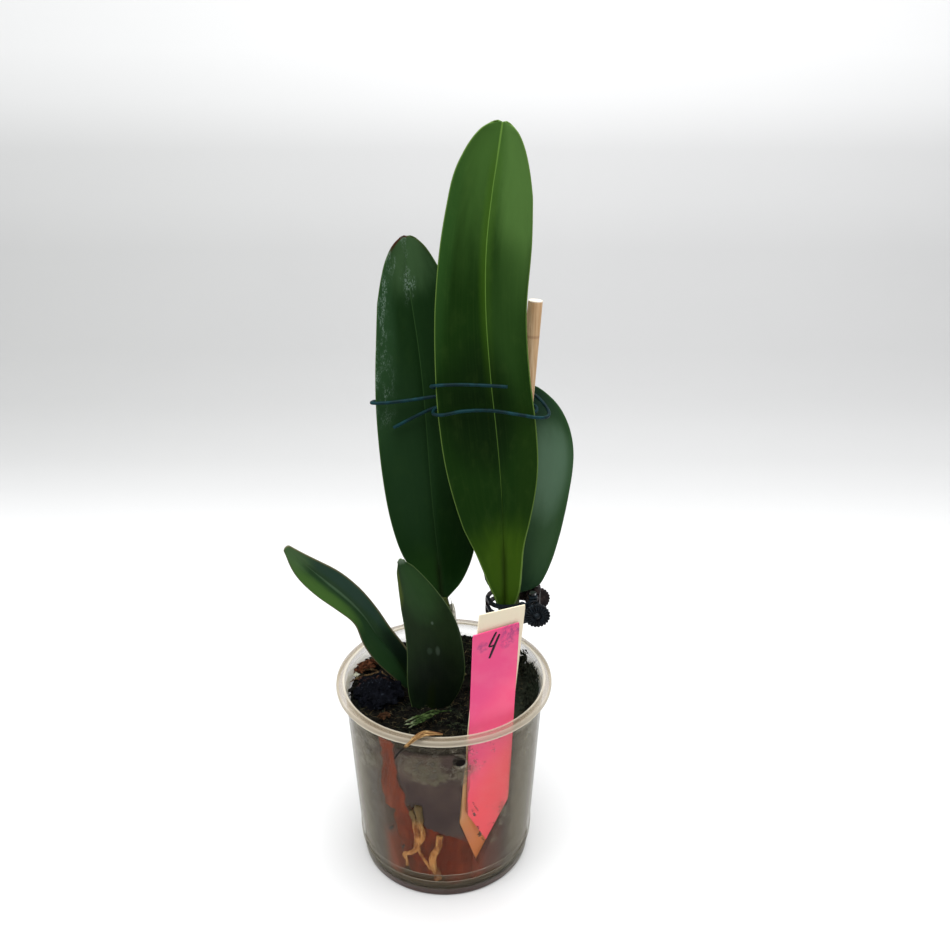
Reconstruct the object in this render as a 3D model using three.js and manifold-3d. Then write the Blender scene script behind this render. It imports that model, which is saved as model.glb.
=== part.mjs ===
// A young cattleya orchid in a clear plastic pot, with its stake, wire ties, plant labels and a
// claw clip that holds the stems to the stake. Millimetres, +Z up. The origin is the centre of the
// pot's underside, and the plant is seen from the front when looking along +Y.

import * as THREE from 'three';
import { mergeVertices } from 'three/addons/utils/BufferGeometryUtils.js';
import Module from 'manifold-3d';

const wasm = await Module();
wasm.setup();

// ---------------------------------------------------------------- driving dimensions

const GAP = 0.35;                 // clearance kept between touching pieces

const POT = {
  height: 83, footRadius: 34.8, footHeight: 6.5, bodyRadiusLow: 35.8, bodyRadiusTop: 40.3,
  wall: 0.9, floor: 1.2, rimRadius: 43.5, rimHeight: 2.6, rimSkirt: 1.1,
  ridgeHeights: [8.6, 12.2], ridgeRadius: 0.35,
  sideHoles: 3, sideHoleRadius: 2.1, sideHoleHeight: 69.5, sideHoleAzimuth: -79.5,
  drainHoles: 6, drainHoleRadius: 2.5, drainCircle: 21,
};

const SUBSTRATE = { bottom: POT.floor + GAP, centreHeight: 72.3, edgeRise: 4.6, backTilt: 0.03, bump: 0.9 };

const STAKE = { radius: 2.7, foot: [18.6, 5.4, 12], head: [34.3, 15, 232.7] };

const WIRE = { radius: 0.65, sides: 8 };

const LABEL = {
  width: 19, thickness: 0.5, azimuth: -61.3, lean: 3.6,
  pink: { tip: 24.6, top: 126, point: 18.4, inward: 0.35, aside: 0.5, turn: 0.2 },
  white: { tip: 14.8, top: 133, point: 23, inward: 1.35, aside: -3.2, turn: 3.3 },
};

const CLIP = {
  hinge: [35.5, 6, 111], pinRadius: 0.75, pinLength: 11.2, earRadius: 1.9, earBore: 1.15, earHeight: 1.2,
  armThickness: 1.3, plateHeight: 8.6, toothHeight: 1.3,
  flowerRadius: 5.1, flowerThickness: 1.3, scallops: 22, scallopDepth: 0.5,
  springRadius: 1.45, springWire: 0.25, springTurns: 4, springHeight: 3.4,
};

// ---------------------------------------------------------------- general helpers

const v3 = (p) => new THREE.Vector3(...p);
const curveThrough = (points) => new THREE.CatmullRomCurve3(points.map(v3), false, 'centripetal');

/** A closed body over rings of equal point count, its two ends closed by fans. */
function loft(rings) {
  const count = rings[0].length;
  const positions = [];
  const index = [];
  for (const ring of rings) {
    for (const point of ring) positions.push(point.x, point.y, point.z);
  }
  for (let r = 0; r + 1 < rings.length; r += 1) {
    for (let k = 0; k < count; k += 1) {
      const a = r * count + k;
      const b = r * count + ((k + 1) % count);
      index.push(a, b, b + count, a, b + count, a + count);
    }
  }
  for (const end of [0, rings.length - 1]) {
    const middle = new THREE.Vector3();
    for (const point of rings[end]) middle.addScaledVector(point, 1 / count);
    const hub = positions.length / 3;
    positions.push(middle.x, middle.y, middle.z);
    for (let k = 0; k < count; k += 1) {
      const a = end * count + k;
      const b = end * count + ((k + 1) % count);
      if (end === 0) index.push(hub, b, a);
      else index.push(hub, a, b);
    }
  }
  const geometry = new THREE.BufferGeometry();
  geometry.setAttribute('position', new THREE.Float32BufferAttribute(positions, 3));
  geometry.setIndex(index);
  if (signedVolume(geometry) < 0) geometry.setIndex(index.reverse());
  return geometry;
}

function signedVolume(geometry) {
  const position = geometry.getAttribute('position');
  const index = geometry.getIndex();
  const [a, b, c] = [new THREE.Vector3(), new THREE.Vector3(), new THREE.Vector3()];
  let volume = 0;
  for (let i = 0; i < index.count; i += 3) {
    a.fromBufferAttribute(position, index.getX(i));
    b.fromBufferAttribute(position, index.getX(i + 1));
    c.fromBufferAttribute(position, index.getX(i + 2));
    volume += a.dot(b.cross(c)) / 6;
  }
  return volume;
}

/** A three.js geometry as a manifold-3d solid. */
function solid(geometry) {
  const bare = geometry.clone();
  bare.deleteAttribute('normal');
  bare.deleteAttribute('uv');
  const merged = mergeVertices(bare, 1e-4);
  return new wasm.Manifold(new wasm.Mesh({
    numProp: 3,
    vertProperties: new Float32Array(merged.getAttribute('position').array),
    triVerts: new Uint32Array(merged.getIndex().array),
  }));
}

/** A manifold-3d solid as a three.js geometry. */
function geometryOf(manifold) {
  const mesh = manifold.getMesh();
  const geometry = new THREE.BufferGeometry();
  geometry.setAttribute('position', new THREE.BufferAttribute(new Float32Array(mesh.vertProperties), 3));
  geometry.setIndex(new THREE.BufferAttribute(new Uint32Array(mesh.triVerts), 1));
  return geometry;
}

/** Round bar along a curve, with a radius that may change from one end to the other. */
function taperedBar(points, radiusAt, { sides = 8, steps = 12, flat = 1, grow = 0 } = {}) {
  const curve = curveThrough(points);
  const frames = curve.computeFrenetFrames(steps, false);
  const rings = [];
  for (let i = 0; i <= steps; i += 1) {
    const t = i / steps;
    const centre = curve.getPointAt(t);
    const radius = radiusAt(t) + grow;
    const ring = [];
    for (let k = 0; k < sides; k += 1) {
      const angle = (2 * Math.PI * k) / sides;
      ring.push(centre.clone()
        .addScaledVector(frames.normals[i], radius * Math.cos(angle))
        .addScaledVector(frames.binormals[i], (flat * radiusAt(t) + grow) * Math.sin(angle)));
    }
    rings.push(ring);
  }
  return loft(rings);
}

/** Round wire of one thickness along a curve. */
function wire(points, radius, sides, steps) {
  const section = new THREE.Shape();
  for (let k = 0; k < sides; k += 1) {
    const angle = (2 * Math.PI * k) / sides;
    const corner = [radius * Math.cos(angle), radius * Math.sin(angle)];
    if (k === 0) section.moveTo(...corner);
    else section.lineTo(...corner);
  }
  section.closePath();
  return new THREE.ExtrudeGeometry(section, { steps, bevelEnabled: false, extrudePath: curveThrough(points) });
}

function cylinderAlongZ(radius, low, high, sides) {
  const geometry = new THREE.CylinderGeometry(radius, radius, high - low, sides);
  geometry.rotateX(Math.PI / 2);
  geometry.translate(0, 0, (low + high) / 2);
  return geometry;
}

/** An outline of [x, y] corners raised from one height to another. */
function prism(outline, low, high) {
  const shape = new THREE.Shape(outline.map(([x, y]) => new THREE.Vector2(x, y)));
  const geometry = new THREE.ExtrudeGeometry(shape, { depth: high - low, bevelEnabled: false });
  geometry.translate(0, 0, low);
  return geometry;
}

const group = new THREE.Group();

function place(name, geometry, color, roughness, metalness = 0) {
  const material = new THREE.MeshStandardMaterial({ color, roughness, metalness });
  const mesh = new THREE.Mesh(geometry, material);
  mesh.name = name;
  group.add(mesh);
  return mesh;
}

// ---------------------------------------------------------------- pot

function bodyRadius(z) {
  const share = (z - POT.footHeight) / (POT.height - POT.footHeight);
  return POT.bodyRadiusLow + share * (POT.bodyRadiusTop - POT.bodyRadiusLow);
}

const innerRadius = (z) => bodyRadius(z) - POT.wall;

/** Outer profile from the foot up, with the fine rings above the foot, then the rolled rim. */
function potProfile() {
  const outer = [[0, 0], [POT.footRadius - 0.6, 0], [POT.footRadius, 0.6]];
  outer.push([bodyRadius(POT.footHeight) - 0.45, POT.footHeight - 0.3]);
  outer.push([bodyRadius(POT.footHeight), POT.footHeight]);
  for (const z of POT.ridgeHeights) {
    const r = bodyRadius(z);
    outer.push([r, z - POT.ridgeRadius], [r + POT.ridgeRadius, z], [r, z + POT.ridgeRadius]);
  }
  const rimLow = POT.height - POT.rimHeight;
  outer.push([bodyRadius(rimLow), rimLow + 0.5]);
  outer.push([POT.rimRadius - POT.rimSkirt, rimLow + 0.5], [POT.rimRadius - 0.5, rimLow]);
  outer.push([POT.rimRadius, rimLow + 0.5], [POT.rimRadius, POT.height - 0.8]);
  outer.push([POT.rimRadius - 0.9, POT.height]);
  const inner = [
    [POT.bodyRadiusTop + 0.4, POT.height],
    [innerRadius(POT.height) + 0.1, POT.height - 0.9],
    [innerRadius(POT.footHeight + 1), POT.footHeight + 1],
    [POT.footRadius - 1.2, POT.floor + 0.8],
    [POT.footRadius - 2, POT.floor],
    [0, POT.floor],
  ];
  return [...outer, ...inner].map(([r, z]) => new THREE.Vector2(r, z));
}

function potShell() {
  const turned = new THREE.LatheGeometry(potProfile(), 44);
  turned.rotateX(Math.PI / 2);
  let shell = solid(turned);
  for (let k = 0; k < POT.sideHoles; k += 1) {
    const azimuth = THREE.MathUtils.degToRad(POT.sideHoleAzimuth + (360 * k) / POT.sideHoles);
    const drill = cylinderAlongZ(POT.sideHoleRadius, 30, 50, 12);
    drill.rotateY(Math.PI / 2);
    drill.rotateZ(azimuth);
    drill.translate(0, 0, POT.sideHoleHeight);
    shell = shell.subtract(solid(drill));
  }
  for (let k = 0; k < POT.drainHoles; k += 1) {
    const azimuth = (2 * Math.PI * (k + 0.5)) / POT.drainHoles;
    const drill = cylinderAlongZ(POT.drainHoleRadius, -2, POT.floor + 2, 10);
    drill.translate(POT.drainCircle * Math.cos(azimuth), POT.drainCircle * Math.sin(azimuth), 0);
    shell = shell.subtract(solid(drill));
  }
  return geometryOf(shell);
}

place('pot', potShell(), '#d9d6cf', 0.25);

// ---------------------------------------------------------------- leaves

/**
 * A strap leaf. Stations run from base to tip: midrib x, y, z, then the half widths on its left and
 * right. The blade is folded along the midrib, so that its margins stand `fold` towards the face.
 */
function leafBlade({ stations, fold, thickness, face }, grow = 0) {
  const midrib = curveThrough(stations.map((s) => s.slice(0, 3)));
  const widths = curveThrough(stations.map((s, i) => [s[3], s[4], i]));
  const towards = v3(face).normalize();
  const steps = 22;
  const across = [-1, -0.7, -0.35, 0, 0.35, 0.7, 1];
  const rings = [];
  for (let i = 0; i <= steps; i += 1) {
    const t = i / steps;
    const centre = midrib.getPoint(t);
    const half = widths.getPoint(t);
    const side = midrib.getTangent(t).cross(towards).normalize();
    const depth = fold * (1 - 0.5 * t) * Math.min(1, (half.x + half.y) / 12);
    const thick = thickness * (1 - 0.55 * t) / 2;
    const point = (s, sheet) => {
      const reach = s * ((s < 0 ? half.x : half.y) + grow);
      const swell = (thick * (1 - 0.8 * s * s) + grow) * sheet;
      const lift = depth * Math.abs(s) ** 1.4 + swell;
      return centre.clone().addScaledVector(side, reach).addScaledVector(towards, lift);
    };
    const ring = across.map((s) => point(s, 1));
    ring.push(...across.slice().reverse().map((s) => point(s, -1)));
    rings.push(ring);
  }
  return loft(rings);
}

const LEAVES = {
  leaf_tall: {
    fold: 3.2, thickness: 2.6, face: [0, -1, 0.06],
    stations: [
      [24.3, 3.9, 111.5, 2.4, 2.4], [24.3, 4.1, 118, 3.6, 5], [23.9, 4.7, 131, 7.9, 7],
      [23.3, 5.5, 147.5, 15.2, 9.8], [22.3, 6.1, 165, 19.4, 13.8], [20.6, 6.6, 184, 20.9, 14.9],
      [18.2, 7.4, 206, 20.2, 14.1], [16.3, 8.8, 232, 18, 14.3], [16.5, 10.2, 253, 15.8, 15.7],
      [18.9, 12, 272.7, 14.4, 12.9], [20.2, 13.1, 285.1, 10.6, 9], [21.2, 13.9, 292.4, 5.6, 3.8],
    ],
  },
  leaf_left: {
    fold: 2.6, thickness: 2.4, face: [0, -1, 0.08],
    stations: [
      [-0.9, 12, 111.7, 2, 2.4], [-1.6, 12.5, 119.8, 6.4, 9.2], [-2.3, 13, 131, 13.8, 14.3],
      [-3.8, 13.9, 149, 17.2, 17.7], [-5.1, 15, 168, 18.3, 17.9], [-6.4, 16.5, 191, 18.5, 16.7],
      [-8.3, 18.1, 213, 16.2, 15.3], [-10.8, 19.9, 232, 11.9, 14.3], [-12, 21.2, 246.4, 7.7, 9.4],
      [-12.2, 21.9, 253.2, 2.8, 3.6],
    ],
  },
  leaf_right: {
    fold: 1.2, thickness: 2.4, face: [0, -1, 0.12],
    stations: [
      [28.5, 14.6, 115.9, 3, 3], [28.6, 14.8, 117.6, 9.8, 8], [29, 15.5, 120.8, 12, 10.4],
      [29.7, 16.6, 129, 14.4, 13.4], [30.2, 17.8, 140.5, 16.8, 16.2], [30.8, 19.2, 157, 18.6, 19],
      [31.2, 20.9, 172, 19, 19.8],
      [30, 22.5, 185.3, 14.7, 16.6], [28, 23.7, 195.2, 6, 8.6], [26.9, 24.3, 200.2, 1.6, 2],
    ],
  },
  leaf_small_left: {
    fold: 3, thickness: 2.4, face: [0.1, -1, 0.1],
    stations: [
      [-13.6, 5.6, 74, 3.2, 3.2], [-16.6, 4.7, 82.6, 5.4, 6], [-21.7, 3.8, 91.6, 6.9, 6.4],
      [-26.8, 3, 99.7, 6.3, 6.6], [-31.5, 2.1, 108.6, 4.2, 6.6], [-36.9, 0.6, 116.8, 5.6, 7.2],
      [-44.3, -1.2, 125.6, 6.6, 7.2], [-52.1, -3, 134.5, 5.6, 4.4], [-58.8, -4.6, 143, 1.8, 1.4],
    ],
  },
  leaf_small_front: {
    fold: -1.6, thickness: 2.6, face: [0.12, -1, 0],
    stations: [
      [-5.2, -11.8, 74.4, 7.2, 7.2], [-4.8, -11.2, 80, 8.8, 10.6], [-4.4, -10.6, 88.5, 9.8, 13.2],
      [-4.4, -10.4, 97, 9.5, 12.8], [-5.1, -11, 107.5, 9, 12], [-6.1, -11.8, 115.5, 8.8, 10.2],
      [-8.2, -12.8, 124, 7.7, 7.7], [-10.9, -13.6, 131.5, 5.5, 5.7], [-13.6, -14, 138.4, 3.1, 3.4],
      [-15.2, -14.1, 142.8, 1, 1],
    ],
  },
};

for (const [name, leaf] of Object.entries(LEAVES)) {
  place(name, leafBlade(leaf), name === 'leaf_tall' ? '#3a6b1e' : '#254a24', 0.4);
}

// ---------------------------------------------------------------- stems, sheaths and shoots

const barOf = ({ points, low, high, ...options }, grow = 0) => taperedBar(
  points,
  (t) => THREE.MathUtils.lerp(low, high, t),
  { ...options, grow },
);

const STEMS = {
  stem_tall: {
    points: [[17, 1.6, 75.8], [19.4, 2, 86], [22.4, 3, 99], [24.1, 3.9, 110.9]],
    low: 3.1, high: 2.3,
  },
  stem_left: {
    points: [[4.6, 9.6, 77], [3.6, 10.4, 87], [1.4, 11.4, 100], [-0.8, 12, 111]],
    low: 3.2, high: 2.2,
  },
  stem_right: {
    points: [[25.4, 18.4, 76.6], [26.6, 17.6, 88], [28, 15.8, 101], [28.5, 14.6, 115]],
    low: 3.2, high: 2.2,
  },
};

for (const [name, stem] of Object.entries(STEMS)) place(name, barOf(stem), '#7c8a3c', 0.5);

/** Creeping rhizome that carries the growths, with one branch to each. */
const RHIZOME = [
  {
    points: [[-11, 3.4, 71.6], [-4, 8, 71.4], [4.6, 10.4, 71.8], [15, 14.4, 71.6], [27, 18.2, 71.4]],
    low: 2.6, high: 3, sides: 10, steps: 14,
  },
  { points: [[14, 14, 71.6], [15.4, 8, 71.4], [17.2, -0.6, 71.4]], low: 2.6, high: 2.6, steps: 8 },
  { points: [[-3, 8, 71.4], [-4.6, 0, 70.8], [-4.8, -9.6, 70.6]], low: 2.4, high: 2.6, steps: 8 },
];

function rhizomeSolid(grow = 0) {
  return RHIZOME.map((branch) => solid(barOf(branch, grow))).reduce((whole, branch) => whole.add(branch));
}

place('rhizome', geometryOf(rhizomeSolid()), '#5d6b33', 0.6);

/** Dry papery bract wrapped round one side of the left stem. */
const SHEATH = { inside: 3.1, thickness: 0.4, low: 90, high: 110.5, from: -80, to: 140, steps: 9 };

function sheathShell() {
  const stem = curveThrough(STEMS.stem_left.points);
  const rings = [];
  for (let i = 0; i <= 5; i += 1) {
    const z = THREE.MathUtils.lerp(SHEATH.low, SHEATH.high, i / 5);
    const centre = stem.getPointAt((z - STEMS.stem_left.points[0][2]) / 35);
    const flare = SHEATH.inside + 0.5 * (i / 5) ** 2;
    const arc = [];
    for (let k = 0; k <= SHEATH.steps; k += 1) {
      arc.push(THREE.MathUtils.degToRad(THREE.MathUtils.lerp(SHEATH.from, SHEATH.to, k / SHEATH.steps)));
    }
    const at = (angle, radius) => new THREE.Vector3(
      centre.x + radius * Math.cos(angle), centre.y + radius * Math.sin(angle), z,
    );
    const ring = arc.map((angle) => at(angle, flare + SHEATH.thickness));
    ring.push(...arc.slice().reverse().map((angle) => at(angle, flare)));
    rings.push(ring);
  }
  return loft(rings);
}

place('sheath_left', sheathShell(), '#c9bfa0', 0.8);

/** New green shoot creeping over the substrate in front. */
const SHOOT = {
  points: [[2.6, -17.4, 75.6], [-2, -21, 76.2], [-7, -23.2, 75.8], [-12.6, -24.4, 74.8]],
  low: 1.8, high: 0.7, sides: 8, steps: 10,
};
place('green_shoot', barOf(SHOOT), '#4f7d45', 0.55);

/** Dead bract lying over the rim, its dark tip hanging outside. */
const BRACT = [
  [0.8, -38.9, 83.9], [-2.6, -40, 84.4], [-6, -41, 84.6], [-9.6, -43, 84.5], [-12.9, -45.1, 81.6],
  [-16.8, -45.2, 76.6],
];
const bractRadius = (t) => 0.4 + Math.sin(Math.PI * Math.min(1, t + 0.12)) ** 0.8;
place('dry_bract', taperedBar(BRACT, bractRadius, { steps: 14, flat: 0.5 }), '#b98f52', 0.8);

// ---------------------------------------------------------------- roots and bark behind the wall

/** A point against the inner wall: azimuth in degrees, height, and how far in from the wall. */
function wallPoint(azimuth, z, inward) {
  const angle = THREE.MathUtils.degToRad(azimuth);
  const radius = innerRadius(z) - inward;
  return [radius * Math.cos(angle), radius * Math.sin(angle), z];
}

const ROOT_INWARD = 1.75;
const ROOTS = {
  root_forked: [
    {
      route: [
        [-107, 45], [-105.5, 37], [-107, 29], [-108, 22.5], [-112, 19.2], [-117, 17.4], [-115.4, 12.6],
      ],
      low: 1.3, high: 0.7, steps: 18,
    },
    { route: [[-108, 23.5], [-105, 20.4], [-101.8, 17]], low: 0.9, high: 0.7, steps: 6 },
  ],
  root_wavy: [
    {
      route: [[-92.6, 30.5], [-93, 25], [-97, 19], [-97.4, 14], [-93.6, 9.8]],
      low: 1, high: 0.95, steps: 14,
    },
  ],
};

function rootSolid(branches, grow = 0) {
  return branches
    .map(({ route, ...size }) => {
      const points = route.map(([azimuth, z]) => wallPoint(azimuth, z, ROOT_INWARD));
      return solid(barOf({ points, ...size }, grow));
    })
    .reduce((whole, branch) => whole.add(branch));
}

for (const [name, branches] of Object.entries(ROOTS)) {
  place(name, geometryOf(rootSolid(branches)), '#b07a42', 0.7);
}

/** Slab of bark lying along the wall: rows of [height, left azimuth, right azimuth]. */
const BARK_SLABS = {
  bark_strip: {
    rows: [[74.5, -129, -118.6], [65, -127.6, -118.4], [56, -126.6, -114.5], [48.5, -125.4, -111.6]],
    inward: 0.35, thickness: 2.4,
  },
  bark_slab: {
    rows: [[42, -124, -112.4], [34, -124, -92], [28, -122.5, -78], [18, -119.5, -70], [9, -116, -72]],
    inward: 3.4, thickness: 2.4,
  },
};

function barkSlab({ rows, inward, thickness }, grow = 0) {
  const heights = rows.map((row) => row[0]);
  const first = heights[0];
  const last = heights[heights.length - 1];
  const rings = rows.map(([z, left, right]) => {
    let height = z;
    if (z === first) height += grow;
    if (z === last) height -= grow;
    const spread = THREE.MathUtils.radToDeg(grow / innerRadius(z));
    const outer = [];
    const inner = [];
    for (let k = 0; k <= 6; k += 1) {
      const azimuth = THREE.MathUtils.lerp(left - spread, right + spread, k / 6);
      outer.push(v3(wallPoint(azimuth, height, inward - grow)));
      inner.push(v3(wallPoint(azimuth, height, inward + thickness + grow)));
    }
    return [...outer, ...inner.reverse()];
  });
  return loft(rings);
}

for (const [name, slab] of Object.entries(BARK_SLABS)) place(name, barkSlab(slab), '#7a3a28', 0.85);

// ---------------------------------------------------------------- chips on the surface

/** Broken piece: a flattened many-sided stone shape, turned about Z. */
function chip([x, y, z], [length, width, height], turn) {
  const geometry = new THREE.DodecahedronGeometry(1, 0);
  geometry.scale(length / 2, width / 2, height / 2);
  geometry.rotateZ(THREE.MathUtils.degToRad(turn));
  geometry.translate(x, y, z);
  return geometry;
}

const CHIPS = {
  bark_chunk: { at: [-27, -3.4, 76.2], size: [18, 19, 7], turn: 15, color: '#2c2320' },
  bark_chip_red: { at: [-30.4, 15.6, 78.6], size: [10.5, 5.6, 4], turn: 12, color: '#7b4430' },
  bark_chip_tan: { at: [-23.4, -17.2, 76.2], size: [7, 5, 3], turn: 40, color: '#8d5a35' },
  white_crumb: { at: [-36.2, 7.4, 77.9], size: [3.4, 2.6, 2.2], turn: 10, color: '#e9e4d2' },
};

for (const [name, { at, size, turn, color }] of Object.entries(CHIPS)) {
  place(name, chip(at, size, turn), color, 0.9);
}

// ---------------------------------------------------------------- labels

/** Flat pointed tag, standing in the frame of the wall: x across it, y inwards, z up along it. */
function label({ tip, top, point, inward, aside, turn }, grow = 0) {
  const half = LABEL.width / 2 + grow;
  const length = top - tip + grow;
  const outline = [[-half, point], [0, -2 * grow], [half, point], [half, length], [-half, length]];
  const geometry = prism(outline, -grow, LABEL.thickness + grow);
  geometry.rotateX(Math.PI / 2);
  geometry.rotateY(THREE.MathUtils.degToRad(turn));
  geometry.translate(aside, LABEL.thickness + inward, 0);
  const lean = THREE.MathUtils.degToRad(LABEL.lean);
  geometry.rotateX(lean);
  const chord = Math.sqrt(innerRadius(tip + point) ** 2 - (LABEL.width / 2 + 0.3) ** 2);
  geometry.translate(0, point * Math.sin(lean) - chord, tip);
  geometry.rotateZ(THREE.MathUtils.degToRad(LABEL.azimuth + 90));
  return geometry;
}

place('label_pink', label(LABEL.pink), '#f0629a', 0.4);
place('label_white', label(LABEL.white), '#ebe3d0', 0.4);

// ---------------------------------------------------------------- stake and wire ties

function stakeBar(grow = 0) {
  const foot = v3(STAKE.foot);
  const head = v3(STAKE.head);
  const along = head.clone().sub(foot);
  const geometry = cylinderAlongZ(STAKE.radius + grow, -grow, along.length(), 16);
  const upright = new THREE.Vector3(0, 0, 1);
  geometry.applyQuaternion(new THREE.Quaternion().setFromUnitVectors(upright, along.normalize()));
  geometry.translate(...STAKE.foot);
  return geometry;
}

place('stake', stakeBar(), '#c9a982', 0.7);

const WIRE_TIES = {
  wire_tie_tall: [
    [24.2, 3, 203.8], [16, 2.8, 204.4], [6, 2.4, 204.8], [-1.2, 2.9, 204.3], [-3.4, 5.2, 203.2],
    [-1.6, 8.4, 201.8], [8, 11.2, 200.4], [20, 13.4, 199.2], [28, 17, 198], [33.4, 17.3, 196.8],
    [37.2, 14.2, 194.8], [39.8, 9.6, 192.2], [39.4, 6.4, 191.4], [36.4, 3.4, 191.8], [28, 2.6, 193.4],
    [18, 2.8, 194.8], [8, 2.6, 194.6], [0.6, 2, 193.4], [-2.6, 3.6, 193.2], [-2.2, 7.2, 193.8],
    [4, 9.4, 195], [12, 10, 196.2],
  ],
  wire_tie_left: [
    [-18.1, 12.2, 184.7], [-10, 11.9, 189.2], [-2, 11.8, 192.9], [8, 12.6, 193.8], [18, 13.6, 194],
    [26.6, 15.6, 193.6], [31.6, 17.6, 192.8], [35.2, 15.2, 192.2], [35.2, 11.2, 191.6], [31.6, 8.7, 191.4],
    [27.4, 10.2, 191.2], [24.6, 14.6, 191.2], [18, 18.2, 191.4], [6, 19.4, 191.6], [-8, 19.6, 192],
    [-20, 18.4, 193], [-25.6, 16, 193.8], [-26, 13, 194.2], [-21, 12, 194.6], [-12, 12.2, 195.6],
    [-2, 12.4, 197], [8, 13.2, 197.4],
  ],
};

for (const [name, route] of Object.entries(WIRE_TIES)) {
  place(name, wire(route, WIRE.radius, WIRE.sides, 54), '#16404a', 0.35);
}

// ---------------------------------------------------------------- claw clip

/** Outline of a bent strip of one thickness along the points, or along the first `share` of them. */
function strip(points, thickness, share = 1) {
  const middle = curveThrough(points.map(([x, y]) => [x, y, 0]));
  const steps = 2 * (points.length - 1);
  const left = [];
  const right = [];
  for (let i = 0; i <= steps * share; i += 1) {
    const centre = middle.getPoint(i / steps);
    const ahead = middle.getTangent(i / steps);
    const half = thickness / 2;
    left.push([centre.x - ahead.y * half, centre.y + ahead.x * half]);
    right.push([centre.x + ahead.y * half, centre.y - ahead.x * half]);
  }
  return [...left, ...right.reverse()];
}

/** Scalloped flower disc facing along Y, with a domed middle towards the given side. */
function flower([x, y, z], side) {
  const outline = [];
  const steps = CLIP.scallops * 3;
  for (let k = 0; k < steps; k += 1) {
    const angle = (2 * Math.PI * k) / steps;
    const radius = CLIP.flowerRadius - CLIP.scallopDepth * Math.abs(Math.cos((angle * CLIP.scallops) / 2));
    outline.push([radius * Math.cos(angle), radius * Math.sin(angle)]);
  }
  const disc = prism(outline, -CLIP.flowerThickness / 2, CLIP.flowerThickness / 2);
  const dome = new THREE.SphereGeometry(1.7, 12, 8);
  dome.scale(1, 1, 0.7);
  dome.translate(0, 0, CLIP.flowerThickness / 2 - 0.1);
  const geometry = geometryOf(solid(disc).add(solid(dome)));
  geometry.rotateX(side < 0 ? Math.PI / 2 : -Math.PI / 2);
  geometry.translate(x, y, z);
  return solid(geometry);
}

/** One jaw: ears round the pin, a plate, teeth, and a flower on its thumb tab. */
function jaw({ arm, tab, teeth, ears, flowerAt, side }) {
  const [hx, hy, hz] = CLIP.hinge;
  const half = CLIP.plateHeight / 2;
  let body = solid(prism(strip(arm, CLIP.armThickness, 0.5), hz - half, hz + half));
  for (const z of teeth) {
    const low = hz + z - CLIP.toothHeight / 2;
    body = body.add(solid(prism(strip(arm, CLIP.armThickness), low, low + CLIP.toothHeight)));
  }
  body = body.add(solid(prism(strip(tab, CLIP.armThickness), hz - half, hz + half)));
  const clearOfEars = cylinderAlongZ(CLIP.earRadius + 0.4, hz - 7, hz + 7, 20);
  clearOfEars.translate(hx, hy, 0);
  body = body.subtract(solid(clearOfEars));
  for (const z of ears) {
    const low = hz + z - CLIP.earHeight / 2;
    const ear = cylinderAlongZ(CLIP.earRadius, low, low + CLIP.earHeight, 20);
    ear.translate(hx, hy, 0);
    body = body.add(solid(ear));
    for (const target of [arm[0], tab[0]]) {
      body = body.add(solid(prism(strip([[hx, hy], target], 1.8), low, low + CLIP.earHeight)));
    }
  }
  body = body.add(flower(flowerAt, side));
  const bore = cylinderAlongZ(CLIP.earBore, hz - 8, hz + 8, 16);
  bore.translate(hx, hy, 0);
  return geometryOf(body.subtract(solid(bore)));
}

const FRONT_JAW = {
  arm: [[34.6, 3.2], [33.2, 1.2], [30.6, 0.1], [27, -0.6], [22, -0.4], [18.6, 2.4], [17.6, 7]],
  tab: [[36.2, 3.2], [37, 1], [37.4, -2.2]],
  teeth: [-3.6, 0, 3.6], ears: [-4.4, 4.4], flowerAt: [36.7, -2.4, 112], side: -1,
};
const BACK_JAW = {
  arm: [
    [36.4, 8.8], [37.2, 11.4], [36.6, 15.6], [32.4, 18.6], [25.4, 18.6], [19.6, 14.6], [17.4, 9.8], [17.4, 5],
  ],
  tab: [[37.6, 8.4], [38.4, 11.4], [38.4, 15.8]],
  teeth: [-1.8, 1.8], ears: [-2.9, 2.9], flowerAt: [38.1, 16, 108.6], side: 1,
};

place('clip_jaw_front', jaw(FRONT_JAW), '#1b2226', 0.35);
place('clip_jaw_back', jaw(BACK_JAW), '#2a2326', 0.35);

function clipPin() {
  const [hx, hy, hz] = CLIP.hinge;
  const half = CLIP.pinLength / 2;
  let pin = solid(cylinderAlongZ(CLIP.pinRadius, hz - half, hz + half, 12));
  for (const low of [hz - half - 0.7, hz + half - 0.1]) {
    pin = pin.add(solid(cylinderAlongZ(1.35, low, low + 0.8, 12)));
  }
  const geometry = geometryOf(pin);
  geometry.translate(hx, hy, 0);
  return geometry;
}

place('clip_pin', clipPin(), '#b9bcc0', 0.3, 1);

/** Torsion spring coiled round the pin between the ears. */
function clipSpring() {
  const [hx, hy, hz] = CLIP.hinge;
  const points = [];
  const steps = CLIP.springTurns * 8;
  for (let k = 0; k <= steps; k += 1) {
    const angle = (2 * Math.PI * CLIP.springTurns * k) / steps;
    const z = hz - CLIP.springHeight / 2 + (CLIP.springHeight * k) / steps;
    points.push([hx + CLIP.springRadius * Math.cos(angle), hy + CLIP.springRadius * Math.sin(angle), z]);
  }
  return wire(points, CLIP.springWire, 5, steps);
}

place('clip_spring', clipSpring(), '#b9bcc0', 0.3, 1);

// ---------------------------------------------------------------- substrate

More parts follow.
